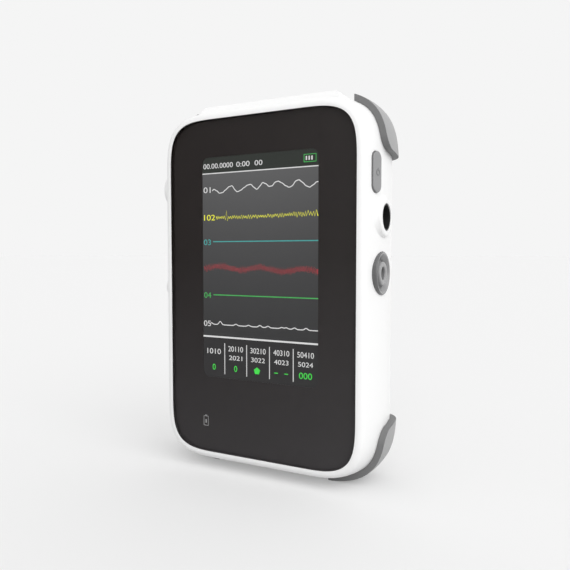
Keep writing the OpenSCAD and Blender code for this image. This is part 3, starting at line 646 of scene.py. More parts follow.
# Modelling steps
class Bench:
    """The modelling steps that the pieces share. Sizes are given in millimetres."""

    bar_corners: int = 64

    def __init__(self, materials: dict[str, bpy.types.Material], form: CaseForm) -> None:
        """Keeps the materials by their short names, and the form of the case."""
        self.materials = materials
        self.form = form

    @staticmethod
    def clear() -> None:
        """Leaves nothing selected."""
        bpy.ops.object.select_all(action="DESELECT")

    def hold(self, *pieces: Piece) -> Piece:
        """Selects some pieces alone and makes the first one active.

        Args:
            pieces: The pieces to select.

        Returns:
            The first piece.
        """
        self.clear()
        for piece in pieces:
            piece.select_set(True)
        bpy.context.view_layer.objects.active = pieces[0]
        return pieces[0]

    def named(self, name: str) -> Piece:
        """Names the new active object and settles its place in its mesh.

        Args:
            name: The piece's name.

        Returns:
            The piece.
        """
        piece = bpy.context.active_object
        piece.name = name
        piece.data.name = name
        self.hold(piece)
        bpy.ops.object.transform_apply(location=True, rotation=True, scale=True)
        return piece

    def join(self, pieces: list[Piece]) -> Piece:
        """Joins pieces into the first one.

        Args:
            pieces: One or more pieces.

        Returns:
            The joined piece.
        """
        self.hold(*pieces)
        if len(pieces) > 1:
            bpy.ops.object.join()
        return pieces[0]

    @contextmanager
    def editing(self, piece: Piece, chosen: bool = True) -> Iterator[None]:
        """Opens a piece in edit mode.

        Args:
            piece: The piece to edit.
            chosen: True to begin with everything selected, else with nothing.

        Yields:
            Nothing, while the piece is in edit mode.
        """
        self.hold(piece)
        bpy.ops.object.mode_set(mode="EDIT")
        bpy.ops.mesh.select_mode(type="VERT")
        bpy.ops.mesh.select_all(action="SELECT" if chosen else "DESELECT")
        yield
        bpy.ops.object.mode_set(mode="OBJECT")

    @staticmethod
    def pick(piece: Piece, test: Callable[[Vector], bool]) -> None:
        """Selects the corners whose place passes a test, and what lies between them.

        Args:
            piece: The piece in edit mode.
            test: Test of a place in metres.
        """
        mesh = bmesh.from_edit_mesh(piece.data)
        for corner in mesh.verts:
            corner.select_set(bool(test(corner.co)))
        mesh.select_flush_mode()
        bmesh.update_edit_mesh(piece.data)

    def weld(self, piece: Piece) -> Piece:
        """Merges the doubled corners of a piece.

        Args:
            piece: The piece.

        Returns:
            The same piece.
        """
        with self.editing(piece):
            bpy.ops.mesh.remove_doubles(threshold=MERGE)
        return piece

    def face_out(self, piece: Piece) -> Piece:
        """Turns the faces of a piece outwards.

        Args:
            piece: The piece.

        Returns:
            The same piece.
        """
        with self.editing(piece):
            bpy.ops.mesh.normals_make_consistent(inside=False)
        return piece

    def draw(self, name: str, points: list[Vector], closed: bool = True) -> Piece:
        """Draws an outline by extruding one corner from point to point.

        Args:
            name: Name of the new piece.
            points: The outline's points.
            closed: True to close and fill the outline.

        Returns:
            The flat piece.
        """
        self.clear()
        bpy.ops.mesh.primitive_plane_add(size=MM, location=points[0] * MM)
        piece = self.named(name)
        path = points + [points[0]] if closed else points
        with self.editing(piece):
            bpy.ops.mesh.merge(type="CENTER")
            for start, end in zip(path, path[1:]):
                bpy.ops.mesh.extrude_region_move(TRANSFORM_OT_translate={"value": (end - start) * MM})
            if closed:
                bpy.ops.mesh.select_all(action="SELECT")
                bpy.ops.mesh.remove_doubles(threshold=MERGE)
                bpy.ops.mesh.edge_face_add()
        return piece

    def thicken(self, piece: Piece, step: Vector) -> Piece:
        """Extrudes a flat piece and turns its faces outwards.

        Args:
            piece: The flat piece.
            step: Direction and length of the extrusion.

        Returns:
            The closed piece.
        """
        with self.editing(piece):
            bpy.ops.mesh.extrude_region_move(TRANSFORM_OT_translate={"value": step * MM})
        return self.face_out(piece)

    def turn(self, name: str, profile: list[Pair], centre: Vector, axis: Vector, steps: int = 96) -> Piece:
        """Spins a profile round an axis, as on a lathe.

        Args:
            name: Name of the new piece.
            profile: Pairs of radius and distance along the axis.
            centre: Point on the axis from which the distances count.
            axis: Direction of the axis.
            steps: Number of steps of the turn.

        Returns:
            The closed turned piece.
        """
        points = [centre + axis * along + UP * radius for radius, along in profile]
        piece = self.draw(name, points, closed=False)
        with self.editing(piece):
            bpy.ops.mesh.spin(steps=steps, angle=FULL_TURN, center=centre * MM, axis=axis)
        return self.face_out(self.weld(piece))

    def block(self, name: str, low: Vector, high: Vector) -> Piece:
        """Adds a box, as a cutter.

        Args:
            name: Name of the new piece.
            low: Corner at the low end of each axis.
            high: Opposite corner.

        Returns:
            The box.
        """
        self.clear()
        bpy.ops.mesh.primitive_cube_add(size=1, location=(low + high) / 2 * MM)
        bpy.context.active_object.scale = (high - low) * MM
        return self.named(name)

    def opening(self, name: str, size: Pair, span: Pair) -> Piece:
        """Adds a box over the screen's centre, as a cutter.

        Args:
            name: Name of the new piece.
            size: Width and height.
            span: First and last depth.

        Returns:
            The box.
        """
        x, up = self.form.screen_at
        wide, high = size[0] / 2, size[1] / 2
        low_corner = self.form.place(x - wide, span[0], up - high)
        return self.block(name, low_corner, self.form.place(x + wide, span[1], up + high))

    def bar(self, name: str, at: Pair, size: Pair, span: Pair) -> Piece:
        """Builds a bar with two round ends that points out of the right side.

        Args:
            name: Name of the new piece.
            at: Depth of the bar's centre, and its height over the panel's centre.
            size: Length and width.
            span: First and last distance from the centre plane.

        Returns:
            The closed bar.
        """
        length, width = size
        start = self.form.place(span[0], *at) * MM
        self.clear()
        bpy.ops.mesh.primitive_circle_add(
            vertices=self.bar_corners, radius=width / 2 * MM, fill_type="NGON", location=start,
            rotation=(0, math.pi / 2, 0),
        )
        piece = self.named(name)
        with self.editing(piece):
            for side in (-1, 1):
                self.pick(piece, lambda p: (p.z - start.z) * side > MERGE)
                bpy.ops.transform.translate(value=(0, 0, side * (length - width) / 2 * MM))
        return self.thicken(piece, RIGHT * (span[1] - span[0]))

    def loft(self, name: str, stations: list[Pair]) -> Piece:
        """Draws the full-cornered outline at each station and bridges the outlines.

        Args:
            name: Name of the new piece.
            stations: Pairs of depth and growth of the outline.

        Returns:
            The closed piece.
        """
        self.clear()
        self._plane(stations[0][0])
        piece = self.named(name)
        levels = [(self.form.front_y + depth) * MM for depth, _ in stations]
        with self.editing(piece):
            self._round(*stations[0])
            for depth, grow in stations[1:]:
                self._plane(depth)
                self._round(depth, grow)
            for low, high in zip(levels, levels[1:]):
                self.pick(piece, lambda p: min(abs(p.y - low), abs(p.y - high)) < LEVEL)
                bpy.ops.mesh.bridge_edge_loops()
            for level in (levels[0], levels[-1]):
                self.pick(piece, lambda p: abs(p.y - level) < LEVEL)
                bpy.ops.mesh.edge_face_add()
        return self.face_out(piece)

    def _plane(self, depth: float) -> None:
        """Adds a plane of one millimetre, upright at a depth."""
        spot = self.form.place(0, depth, 0) * MM
        bpy.ops.mesh.primitive_plane_add(size=MM, location=spot, rotation=(math.pi / 2, 0, 0))

    def _round(self, depth: float, grow: float) -> None:
        """Sizes the selected plane, rounds its corners and leaves its edge only.

        Args:
            depth: Depth of the plane.
            grow: Growth of the outline.
        """
        form = self.form
        bpy.ops.transform.resize(
            value=(form.panel_w + 2 * grow, 1, form.panel_h + 2 * grow),
            center_override=form.place(0, depth, 0) * MM,
        )
        bpy.ops.mesh.bevel(
            offset=(form.corner_r + grow) * MM, segments=form.corner_steps, affect="VERTICES",
            profile=0.5 ** (2 / (form.fullness - form.ease * grow)),
        )
        bpy.ops.mesh.delete(type="ONLY_FACE")

    def plate(self, name: str, low: float, high: float, grow: float) -> Piece:
        """A flat plate of the panel's outline between two depths."""
        return self.loft(name, [(low, grow), (high, grow)])

    def wires(self, name: str, lines: list[list[Vector]], width: float, facets: int = 0) -> Piece:
        """Sweeps a thin bar along lines.

        Args:
            name: Name of the new piece.
            lines: Points of each line, in metres.
            width: Width of the bar.
            facets: Fineness of the bar's round.

        Returns:
            The bars as one mesh.
        """
        curve = bpy.data.curves.new(name, "CURVE")
        curve.dimensions = "3D"
        for points in lines:
            spline = curve.splines.new("POLY")
            spline.points.add(len(points) - 1)
            for point, spot in zip(spline.points, points):
                point.co = (*spot, 1.0)
        curve.bevel_depth = width / 2 * MM
        curve.bevel_resolution = facets
        curve.use_fill_caps = True
        self.hold(placed(name, curve))
        bpy.ops.object.convert(target="MESH")
        return bpy.context.active_object

    def shape(self, piece: Piece, kind: str, **settings: object) -> None:
        """Adds one modifier and applies it.

        Args:
            piece: The piece to shape.
            kind: Type of the modifier.
            settings: Settings of the modifier.
        """
        self.hold(piece)
        modifier = piece.modifiers.new(kind.lower(), kind)
        for key, value in settings.items():
            setattr(modifier, key, value)
        bpy.ops.object.modifier_apply(modifier=modifier.name)

    def carve(self, piece: Piece, *tools: Piece, how: Boolean = Boolean.CUT) -> None:
        """Cuts, joins or keeps a piece by other pieces, which are used up.

        Args:
            piece: The piece that stays.
            tools: The pieces that are used up, in order.
            how: What the boolean does.
        """
        for tool in tools:
            self.shape(piece, "BOOLEAN", operation=how.value, object=tool, solver="EXACT")
            bpy.data.objects.remove(tool)
            self.weld(piece)

    def twin(self, piece: Piece, name: str, mirror: Triple = (1, 1, 1), shift: Triple = (0, 0, 0)) -> Piece:
        """Copies a piece with its own mesh, mirrored about the origin's planes and moved.

        Args:
            piece: The piece to copy.
            name: Name of the copy.
            mirror: Minus one on each axis that is turned over.
            shift: Move after the mirror.

        Returns:
            The copy.
        """
        self.hold(piece)
        bpy.ops.object.duplicate()
        copy = bpy.context.active_object
        copy.scale = mirror
        copy.location = Vector(shift) * MM
        copy = self.named(name)
        return self.face_out(copy) if math.prod(mirror) < 0 else copy

    @staticmethod
    def paint_shade(piece: Piece, test: Callable[[bpy.types.MeshPolygon], bool]) -> None:
        """Marks the faces that pass a test, which get the painted shade tone of their finish."""
        band = piece.data.attributes.new(PAINTED_SHADE_FACES, "FLOAT", "FACE")
        band.data.foreach_set("value", [float(test(face)) for face in piece.data.polygons])

    def dress(self, piece: Piece, finish: str, slot: str, body: Body = Body.CASE, node: str | None = None,
              sharp: float = 32.0) -> None:
        """Gives a finished piece its material and its body.

        Args:
            piece: The finished piece.
            finish: Short name of the material.
            slot: Not used.
            body: CAD body that the piece moves with.
            node: CAD node that the piece replaces.
            sharp: Angle in degrees above which an edge stays sharp.
        """
        self.hold(piece)
        bpy.ops.object.shade_smooth_by_angle(angle=math.radians(sharp))
        self.shape(piece, "WEIGHTED_NORMAL", keep_sharp=True)
        piece.data.materials.clear()
        piece.data.materials.append(self.materials[finish])
        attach(piece, body.value)
        if node:
            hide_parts(node)
        log.info("%s: %d faces, finish %s, body %s", piece.name, len(piece.data.polygons), finish, body.value)


def placed(name: str, data: bpy.types.ID) -> Piece:
    """Puts new data in the scene.

    Args:
        name: Name of the new object.
        data: Its curve, lamp or camera.

    Returns:
        The new object.
    """
    new = bpy.data.objects.new(name, data)
    bpy.context.scene.collection.objects.link(new)
    return new


# The pieces
@dataclass(frozen=True)
class SideSocket:
    """A round hole in a side of the case, with the boss round it."""

    name: str
    side: int
    at: Pair
    hole_r: float
    rim_r: float
    boss_r: float
    shoulder: float
    proud: float
    flare: float
    hole_l: float = 16.0
    lip: float = 0.15
    lip_steps: int = 5
    sunk: float = 0.15
    root: float = 0.5

    def turned(self, bench: Bench, kind: str, profile: list[Pair]) -> Piece:
        """Turns a profile round the hole's axis, out of the socket's side."""
        return bench.turn(f"{self.name}_{kind}", profile, bench.form.place(0, *self.at), RIGHT * self.side)

    def boss(self, bench: Bench) -> Piece:
        """Turns the boss: a flat rim, a round shoulder and a foot that runs out on the wall.

        Args:
            bench: The modelling steps.

        Returns:
            The closed boss.
        """
        form = bench.form
        top = form.half_w + self.proud
        waist = top - self.shoulder
        outer = self.boss_r + self.flare
        foot = form.side(self.at[0] - outer) - self.sunk
        run_out = foot + (form.side(self.at[0]) - foot) * 0.25
        profile = [(0.0, foot - self.root), (outer, foot - self.root)]
        neck = (self.boss_r, waist)
        profile += swung((outer, foot), (self.boss_r + self.flare * 0.35, run_out), neck)
        profile += swung(neck, (self.boss_r - self.shoulder * 0.1, top), (self.rim_r, top))[1:]
        return self.turned(bench, "boss", profile + [(0.0, top)])

    def hole(self, bench: Bench) -> Piece:
        """Turns the cutter of the hole, with a rounded lip.

        Args:
            bench: The modelling steps.

        Returns:
            The cutter.
        """
        top = bench.form.half_w + self.proud
        mouth = self.hole_r + self.lip
        profile = [(0.0, top - self.hole_l), (self.hole_r, top - self.hole_l)]
        for swing in quarter(self.lip_steps):
            profile.append((mouth - self.lip * math.cos(swing), top - self.lip * (1 - math.sin(swing))))
        return self.turned(bench, "hole", profile + [(mouth, top + 2), (0.0, top + 2)])


SOCKETS = (
    SideSocket("right_socket", 1, (13.1, 24.1), 4.5, 5.3, 6.5, 0.75, 1.0, 2.2),
    SideSocket("left_socket", -1, (11.4, 36.3), 4.5, 5.7, 6.5, 0.6, 2.48, 0.9),
    SideSocket("belt_jack", -1, (8.8, -0.4), 1.8, 3.0, 3.6, 0.5, 2.0, 0.7, 14.0),
)


@dataclass
class Assembly:
    """Group of pieces that are built on one bench."""

    bench: Bench

    @property
    def form(self) -> CaseForm:
        """Form of the case."""
        return self.bench.form


@dataclass
class Housing(Assembly):
    """The white case: front shell and rear cover."""

    pad_w: float = 52.0
    pad_h: float = 1.8
    pad_depth: float = 8.0
    pad_slope: float = 1.4
    pad_toe: float = 0.6
    pad_edge: float = 0.45
    display: Pair = (48.9, 81.8)
    button_slot: Pair = (13.5, 5.3)
    stem_r: float = 5.05
    port_r: float = 7.2
    usb_depth: float = 11.0
    usb_size: Pair = (9.4, 3.7)
    thread_r: float = 1.15
    head_r: float = 2.2
    head_depth: float = 1.4
    head_edge: float = 0.2
    sound_up: float = 34.0
    sound_pitch: float = 3.0
    sound_r: float = 0.6
    sound_edge: float = 0.15
    cover_t: float = 2.0
    joint_edge: float = 0.18
    side_cut: Pair = (30.0, 50.0)
    void_steps: int = 6
    recess_from: float = 15.0
    sound_from: float = 20.0

    def top_pad(self) -> Piece:
        """Builds the raised pad on the top side from a block whose top is drawn in on three sides.

        Returns:
            The pad.
        """
        form, bench = self.form, self.bench
        foot_x = self.pad_w / 2 + self.pad_slope
        low = form.place(-foot_x, self.pad_depth - self.pad_slope, form.half_h - self.pad_h)
        high = form.place(foot_x, form.seam_depth, form.half_h - self.pad_toe)
        pad = bench.block("top_pad", low, high)
        roof = high.z * MM
        top = roof + (self.pad_h + self.pad_toe) * MM
        with bench.editing(pad):
            bench.pick(pad, lambda p: p.z > roof - MERGE)
            bpy.ops.mesh.extrude_region_move(TRANSFORM_OT_translate={"value": (0, 0, top - roof)})
            bench.pick(pad, lambda p: p.z > top - MERGE)
            bpy.ops.transform.resize(value=(self.pad_w / (2 * foot_x), 1, 1))
            bench.pick(pad, lambda p: p.z > top - MERGE and p.y < low.y * MM + MERGE)
            bpy.ops.transform.translate(value=(0, self.pad_slope * MM, 0))
            bench.pick(pad, lambda p: p.z > top - MERGE)
            bpy.ops.mesh.bevel(offset=self.pad_edge * MM, segments=4, affect="EDGES")
        return pad

    def usb_slot(self) -> Piece:
        """Builds the cutter of the charging socket's slot through the pad.

        Returns:
            The cutter.
        """
        slot = self.bench.bar("usb_slot", (self.usb_depth, 0), self.usb_size, (-4, 4))
        centre = self.form.place(0, self.usb_depth, 0) * MM
        with self.bench.editing(slot):
            bpy.ops.transform.rotate(value=math.pi / 2, orient_axis="Y", center_override=centre)
            bpy.ops.transform.translate(value=(0, 0, (self.form.half_h + 0.5) * MM))
        return slot

    def front(self) -> None:
        """Builds the front shell with its bosses, openings and pocket."""
        bench, form = self.bench, self.form
        seam, edge = form.seam_depth, self.joint_edge
        stations = [(d, form.offset(d)) for d in form.depths(0, seam) if d < seam - 2 * edge]
        stations += [(seam - edge, form.offset(seam - edge)), (seam, form.offset(seam) - edge)]
        shell = bench.loft("front_shell_skin", stations)
        bench.carve(shell, self.top_pad(), *(socket.boss(bench) for socket in SOCKETS), how=Boolean.ADD)
        void = spaced(form.void_depth, seam + 1, self.void_steps)
        hollow = [(d, form.offset(d) - form.wall) for d in void]
        window = tuple(size + 2 * form.lens_gap for size in self.display)
        inner, outer = self.side_cut
        port = [(0, inner), (self.stem_r, inner), (self.stem_r, form.port_seat)]
        port += [(self.port_r, form.port_seat), (self.port_r, outer), (0, outer)]
        bench.carve(
            shell,
            bench.loft("hollow", hollow),
            bench.plate("pocket", -1, form.ledge_depth, 0.0),
            bench.opening("window", window, (0, form.void_depth + 1)),
            bench.bar("button_slot", form.button_at, self.button_slot, self.side_cut),
            bench.turn("port_pocket", port, form.place(0, *form.port_at), RIGHT),
            self.usb_slot(),
            *(socket.hole(bench) for socket in SOCKETS),
        )
        bench.dress(shell, "shell", "shell_white", node="front_shell")

    def stepped(self, steps: list[Pair], edge: float) -> list[Pair]:
        """Profile of a hole through the rear face, which widens at steps and at its mouth.

        Args:
            steps: Pairs of radius and the depth from which it counts.
            edge: Bevel of the mouth.

        Returns:
            Pairs of radius and depth.
        """
        back = self.form.case_d
        profile = [(0, steps[0][1])]
        for (radius, start), (_, end) in zip(steps, steps[1:] + [(0, back - edge)]):
            profile += [(radius, start), (radius, end)]
        mouth = steps[-1][0] + edge
        return profile + [(mouth, back), (mouth, back + 1), (0, back + 1)]

    def rear(self) -> None:
        """Builds the rear cover with its screw recesses and sound holes."""
        bench, form = self.bench, self.form
        seam, edge, back = form.seam_depth, self.joint_edge, form.case_d
        stations = [(seam, form.offset(seam) - edge), (seam + edge, form.offset(seam + edge))]
        stations += [(d, form.offset(d)) for d in form.depths(seam, back) if d > seam + 2 * edge]
        cover = bench.loft("rear_cover_skin", stations)
        hollow = bench.plate("cover_hollow", seam - 1, back - self.cover_t, form.offset(seam) - form.wall)
        bench.carve(cover, hollow)
        steps = [(self.thread_r, self.recess_from), (self.head_r, back - self.head_depth)]
        recess = self.stepped(steps, self.head_edge)
        wide, high = form.screw_pitch
        for x in (-wide / 2, wide / 2):
            for up in (-high / 2, high / 2):
                bench.carve(cover, bench.turn("recess", recess, form.place(x, 0, up), REAR, 48))
        sound = self.stepped([(self.sound_r, self.sound_from)], self.sound_edge)
        for i in range(-2, 3):
            spot = form.place(i * self.sound_pitch, 0, self.sound_up)
            bench.carve(cover, bench.turn("sound_hole", sound, spot, REAR, 32))
        bench.dress(cover, "shell", "shell_white", node="rear_cover")

    def build(self) -> None:
        """Builds both halves of the case."""
        self.front()
        self.rear()


@dataclass
class CornerGuards(Assembly):
    """The four soft guards that wrap the rear corners, with their swept front edge."""

    proud: float = 2.45
    depth: float = 10.4
    side_reach: float = 19.7
    sweep_r: float = 5.5
    sweep_steps: int = 16
    tail_angle: float = 8.0
    top_reach: float = 9.7
    bottom_reach: float = 18.4
    lip_w: float = 6.0
    foot: float = 1.0
    clearance: float = 0.1
    edge: float = 0.12
    edge_angle: float = 40.0
    far: float = 40.0
    sweep_l: float = 60.0
    barrel_steps: int = 16
    edge_steps: int = 10
    # Faces whose normal falls below this get painted shade
    shade_below: float = -0.3
    floor_box: tuple[Triple, Triple] = ((-90, -60, -40), (90, 60, 0))

    def outer(self, name: str) -> Piece:
        """Lofts the outer face, with its round rear edge.

        Args:
            name: Name of the new piece.

        Returns:
            The closed form that the guards are cut from.
        """
        form = self.form
        edge_r = form.rear_edge_r + self.foot + 1
        turn_in = form.case_d + self.foot - edge_r
        depths = spaced(self.depth - 1, turn_in, self.barrel_steps)
        stations = [(d, form.barrel(d) + self.proud) for d in depths]
        crest = stations[-1][1]
        stations += [
            (turn_in + edge_r * math.sin(swing), crest - edge_r * (1 - math.cos(swing)))
            for swing in quarter(self.edge_steps)[1:]
        ]
        return self.bench.loft(name, stations)

    def sweep(self, reach: float) -> Piece:
        """Draws the region behind the swept front edge and extrudes it across the case.

        Args:
            reach: Distance of the region's start inside the case's side.

        Returns:
            The closed region.
        """
        form, radius = self.form, self.sweep_r
        angle = math.radians(self.tail_angle)
        run = form.case_d - self.depth - radius * (1 - math.sin(angle))
        hub = self.depth + radius
        hub_up = form.half_h - self.side_reach + radius * math.cos(angle) + run * math.tan(angle)
        points = [(self.depth, hub_up + self.far)]
        for swing in spaced(0, math.pi / 2 - angle, self.sweep_steps):
            points.append((hub - radius * math.cos(swing), hub_up - radius * math.sin(swing)))
        end, end_up = points[-1]
        points += [(end + self.far, end_up - self.far * math.tan(angle)), (end + self.far, hub_up + self.far)]
        outline = [form.place(form.half_w - reach, depth, up) for depth, up in points]
        return self.bench.thicken(self.bench.draw("sweep", outline), RIGHT * self.sweep_l)

    def guard(self, name: str, reach: float) -> Piece:
        """Builds an upper right guard.

        Args:
            name: Name of the new piece.
            reach: Distance of its end inside the case's side.

        Returns:
            The closed guard.
        """
        bench, form = self.bench, self.form
        back = form.case_d
        piece = self.outer(name)
        case = [(d, form.offset(d) + self.clearance) for d in form.depths(self.depth - 2, back)]
        lip = bench.plate("lip_cut", back - 0.01, back + 3, form.bulge - self.lip_w)
        bench.carve(piece, bench.loft("case_cut", case), lip)
        bench.carve(piece, self.sweep(reach), how=Boolean.KEEP)
        return piece

    def build(self) -> None:
        """Builds the four guards."""
        bench = self.bench
        top = self.guard("guard_top_right_skin", self.top_reach)
        low = self.guard("guard_low", self.bottom_reach)
        bottom = bench.twin(low, "guard_bottom_right_skin", (1, 1, -1), (0, 0, 2 * MID_Z))
        bpy.data.objects.remove(low)
        bench.carve(bottom, bench.block("floor_cut", *map(Vector, self.floor_box)))
        for piece in (top, bottom):
            bench.shape(
                piece, "BEVEL", width=self.edge * MM, segments=2, limit_method="ANGLE",
                angle_limit=math.radians(self.edge_angle), use_clamp_overlap=False,
            )
        pieces = {
            "guard_top_right": top,
            "guard_top_left": bench.twin(top, "guard_top_left_skin", (-1, 1, 1)),
            "guard_bottom_right": bottom,
            "guard_bottom_left": bench.twin(bottom, "guard_bottom_left_skin", (-1, 1, 1)),
        }
        for node, piece in pieces.items():
            out = 1 if "top" in node else -1
            # Painted shade: the front band and the faces turned in towards the case get the darker band tone
            bench.paint_shade(piece, lambda face: min(face.normal.y, face.normal.z * out) < self.shade_below)
            bench.dress(piece, "guard", "guard_grey", node=node, sharp=self.edge_angle)


@dataclass
class FrontWindow(Assembly):
    """The clear lens and the printed mask behind it."""

    lens_t: float = 1.1
    mask_t: float = 0.15
    ink_gap: float = 0.04
    edge: float = 0.2
    rim_gap: float = 0.01
    rim_depth: float = 0.22
    screen: Pair = (45.5, 78.4)
    screen_r: float = 2.4
    lens_sharp: float = 20.0

    def lens(self) -> None:
        """Builds the clear lens with a rounded front edge."""
        gap = self.form.lens_gap
        stations = [
            (self.edge * (1 - math.sin(swing)), -gap - self.edge * (1 - math.cos(swing)))
            for swing in reversed(quarter(4))
        ]
        piece = self.bench.loft("cover_lens_skin", stations + [(self.lens_t, -gap)])
        self.bench.dress(piece, "lens", "lens_clear", node="cover_lens", sharp=self.lens_sharp)

    def mask(self) -> None:
        """Builds the printed mask with the screen's window, and the ink round the lens's edge."""
        bench, gap = self.bench, self.form.lens_gap
        back = self.lens_t + self.mask_t
        piece = bench.plate("lens_mask_skin", self.lens_t + self.ink_gap, back, -gap)
        window = bench.opening("window", self.screen, (self.lens_t - 1, self.lens_t + 1))
        with bench.editing(window, chosen=False):
            bpy.ops.mesh.select_mode(type="EDGE")
            for side in bmesh.from_edit_mesh(window.data).edges:
                along = side.verts[0].co - side.verts[1].co
                side.select_set(abs(along.y) > abs(along.x) + abs(along.z))
            bmesh.update_edit_mesh(window.data)
            bpy.ops.mesh.bevel(offset=self.screen_r * MM, segments=10, affect="EDGES")
        bench.carve(piece, window)
        rim = bench.plate("lens_rim", self.rim_depth, back, -self.rim_gap)
        bench.carve(rim, bench.plate("rim_core", 0, 2 * self.lens_t, self.rim_gap - gap))
        bench.dress(bench.join([piece, rim]), "mask", "mask_black", node="lens_mask")

    def build(self) -> None:
        """Builds the lens and the mask."""
        self.lens()
        self.mask()


@dataclass
class DrawnMarks(Assembly):
    """Flat strokes and numbers between the screen and the lens."""

    depth: float = 1.2
    thickness: float = 0.04

    def stroke(self, points: list[Pair], width: float) -> Piece:
        """Lays a flat band along points.

        Args:
            points: Distances to the right and up from the panel's centre.
            width: Width of the band.

        Returns:
            The closed flat band.
        """
        line = [self.form.place(x, 0, up) * MM for x, up in points]
        return self.flatten(self.bench.wires("stroke", [line], width))

    def flatten(self, piece: Piece) -> Piece:
        """Presses a piece flat at the depth of the marks.

        Args:
            piece: The piece.

        Returns:
            The same piece.
        """
        self.bench.hold(piece)
        bpy.ops.object.transform_apply(location=True, rotation=True, scale=True)
        ys = [v.co.y for v in piece.data.vertices]
        low, high = min(ys), max(ys)
        middle = (low + high) / 2
        level = (self.form.front_y + self.depth + self.thickness / 2) * MM
        with self.bench.editing(piece):
            bpy.ops.transform.resize(
                value=(1, self.thickness * MM / (high - low), 1), center_override=(0, middle, 0)
            )
            bpy.ops.transform.translate(value=(0, level - middle, 0))
        return piece

    def digits(self, body: str, x: float, up: float, width: float, height: float) -> Piece:
        """Writes plain numbers that fill a field.

        Args:
            body: The numbers.
            x: Distance of the field's centre to the right of the panel's centre.
            up: Distance of the field's centre above the panel's centre.
            width: Width of the field.
            height: Height of the field.

        Returns:
            The flat numbers.
        """
        self.bench.clear()
        bpy.ops.object.text_add(rotation=(math.pi / 2, 0, 0))
        numbers = bpy.context.active_object.data
        numbers.body = body
        numbers.size = height * MM
        numbers.extrude = self.thickness / 2 * MM
        bpy.ops.object.convert(target="MESH")
        piece = self.flatten(bpy.context.active_object)
        xs = [v.co.x for v in piece.data.vertices]
        zs = [v.co.z for v in piece.data.vertices]
        middle = Vector(((min(xs) + max(xs)) / 2, 0, (min(zs) + max(zs)) / 2))
        field = self.form.place(x, 0, up) * MM
        with self.bench.editing(piece):
            bpy.ops.transform.resize(
                value=(width * MM / (max(xs) - min(xs)), 1, height * MM / (max(zs) - min(zs))),
                center_override=middle,
            )
            bpy.ops.transform.translate(value=(field.x - middle.x, 0, field.z - middle.z))
        return piece

    def marker(self, x: float, up: float, size: float, corners: int = 5) -> Piece:
        """Draws a filled mark with even sides and its tip upwards.

        Args:
            x: Distance of its centre to the right of the panel's centre.
            up: Distance of its centre above the panel's centre.
            size: Distance of a corner from its centre.
            corners: Number of corners.

        Returns:
            The flat mark.
        """
        swings = [FULL_TURN * i / corners for i in range(corners)]
        outline = [self.form.place(x + size * math.sin(a), 0, up + size * math.cos(a)) for a in swings]
        return self.flatten(self.bench.thicken(self.bench.draw("marker", outline), REAR * 0.1))

    def ring(self, x: float, up: float, size: Pair, width: float) -> Piece:
        """An upright outlined rectangle round a place."""
        corners = [(-1, -1), (1, -1), (1, 1), (-1, 1), (-1, -1)]
        return self.stroke([(x + a * size[0] / 2, up + b * size[1] / 2) for a, b in corners], width)

    def gather(self, name: str, parts: list[Piece], finish: str, slot: str = "display_dark") -> None:
        """Joins the marks of one colour and dresses them.

        Args:
            name: Name of the joined piece.
            parts: The marks.
            finish: Short name of the material.
            slot: Slot of the record.
        """
        piece = self.bench.join(parts)
        piece.name = name
        self.bench.dress(self.bench.face_out(self.bench.weld(piece)), finish, slot)


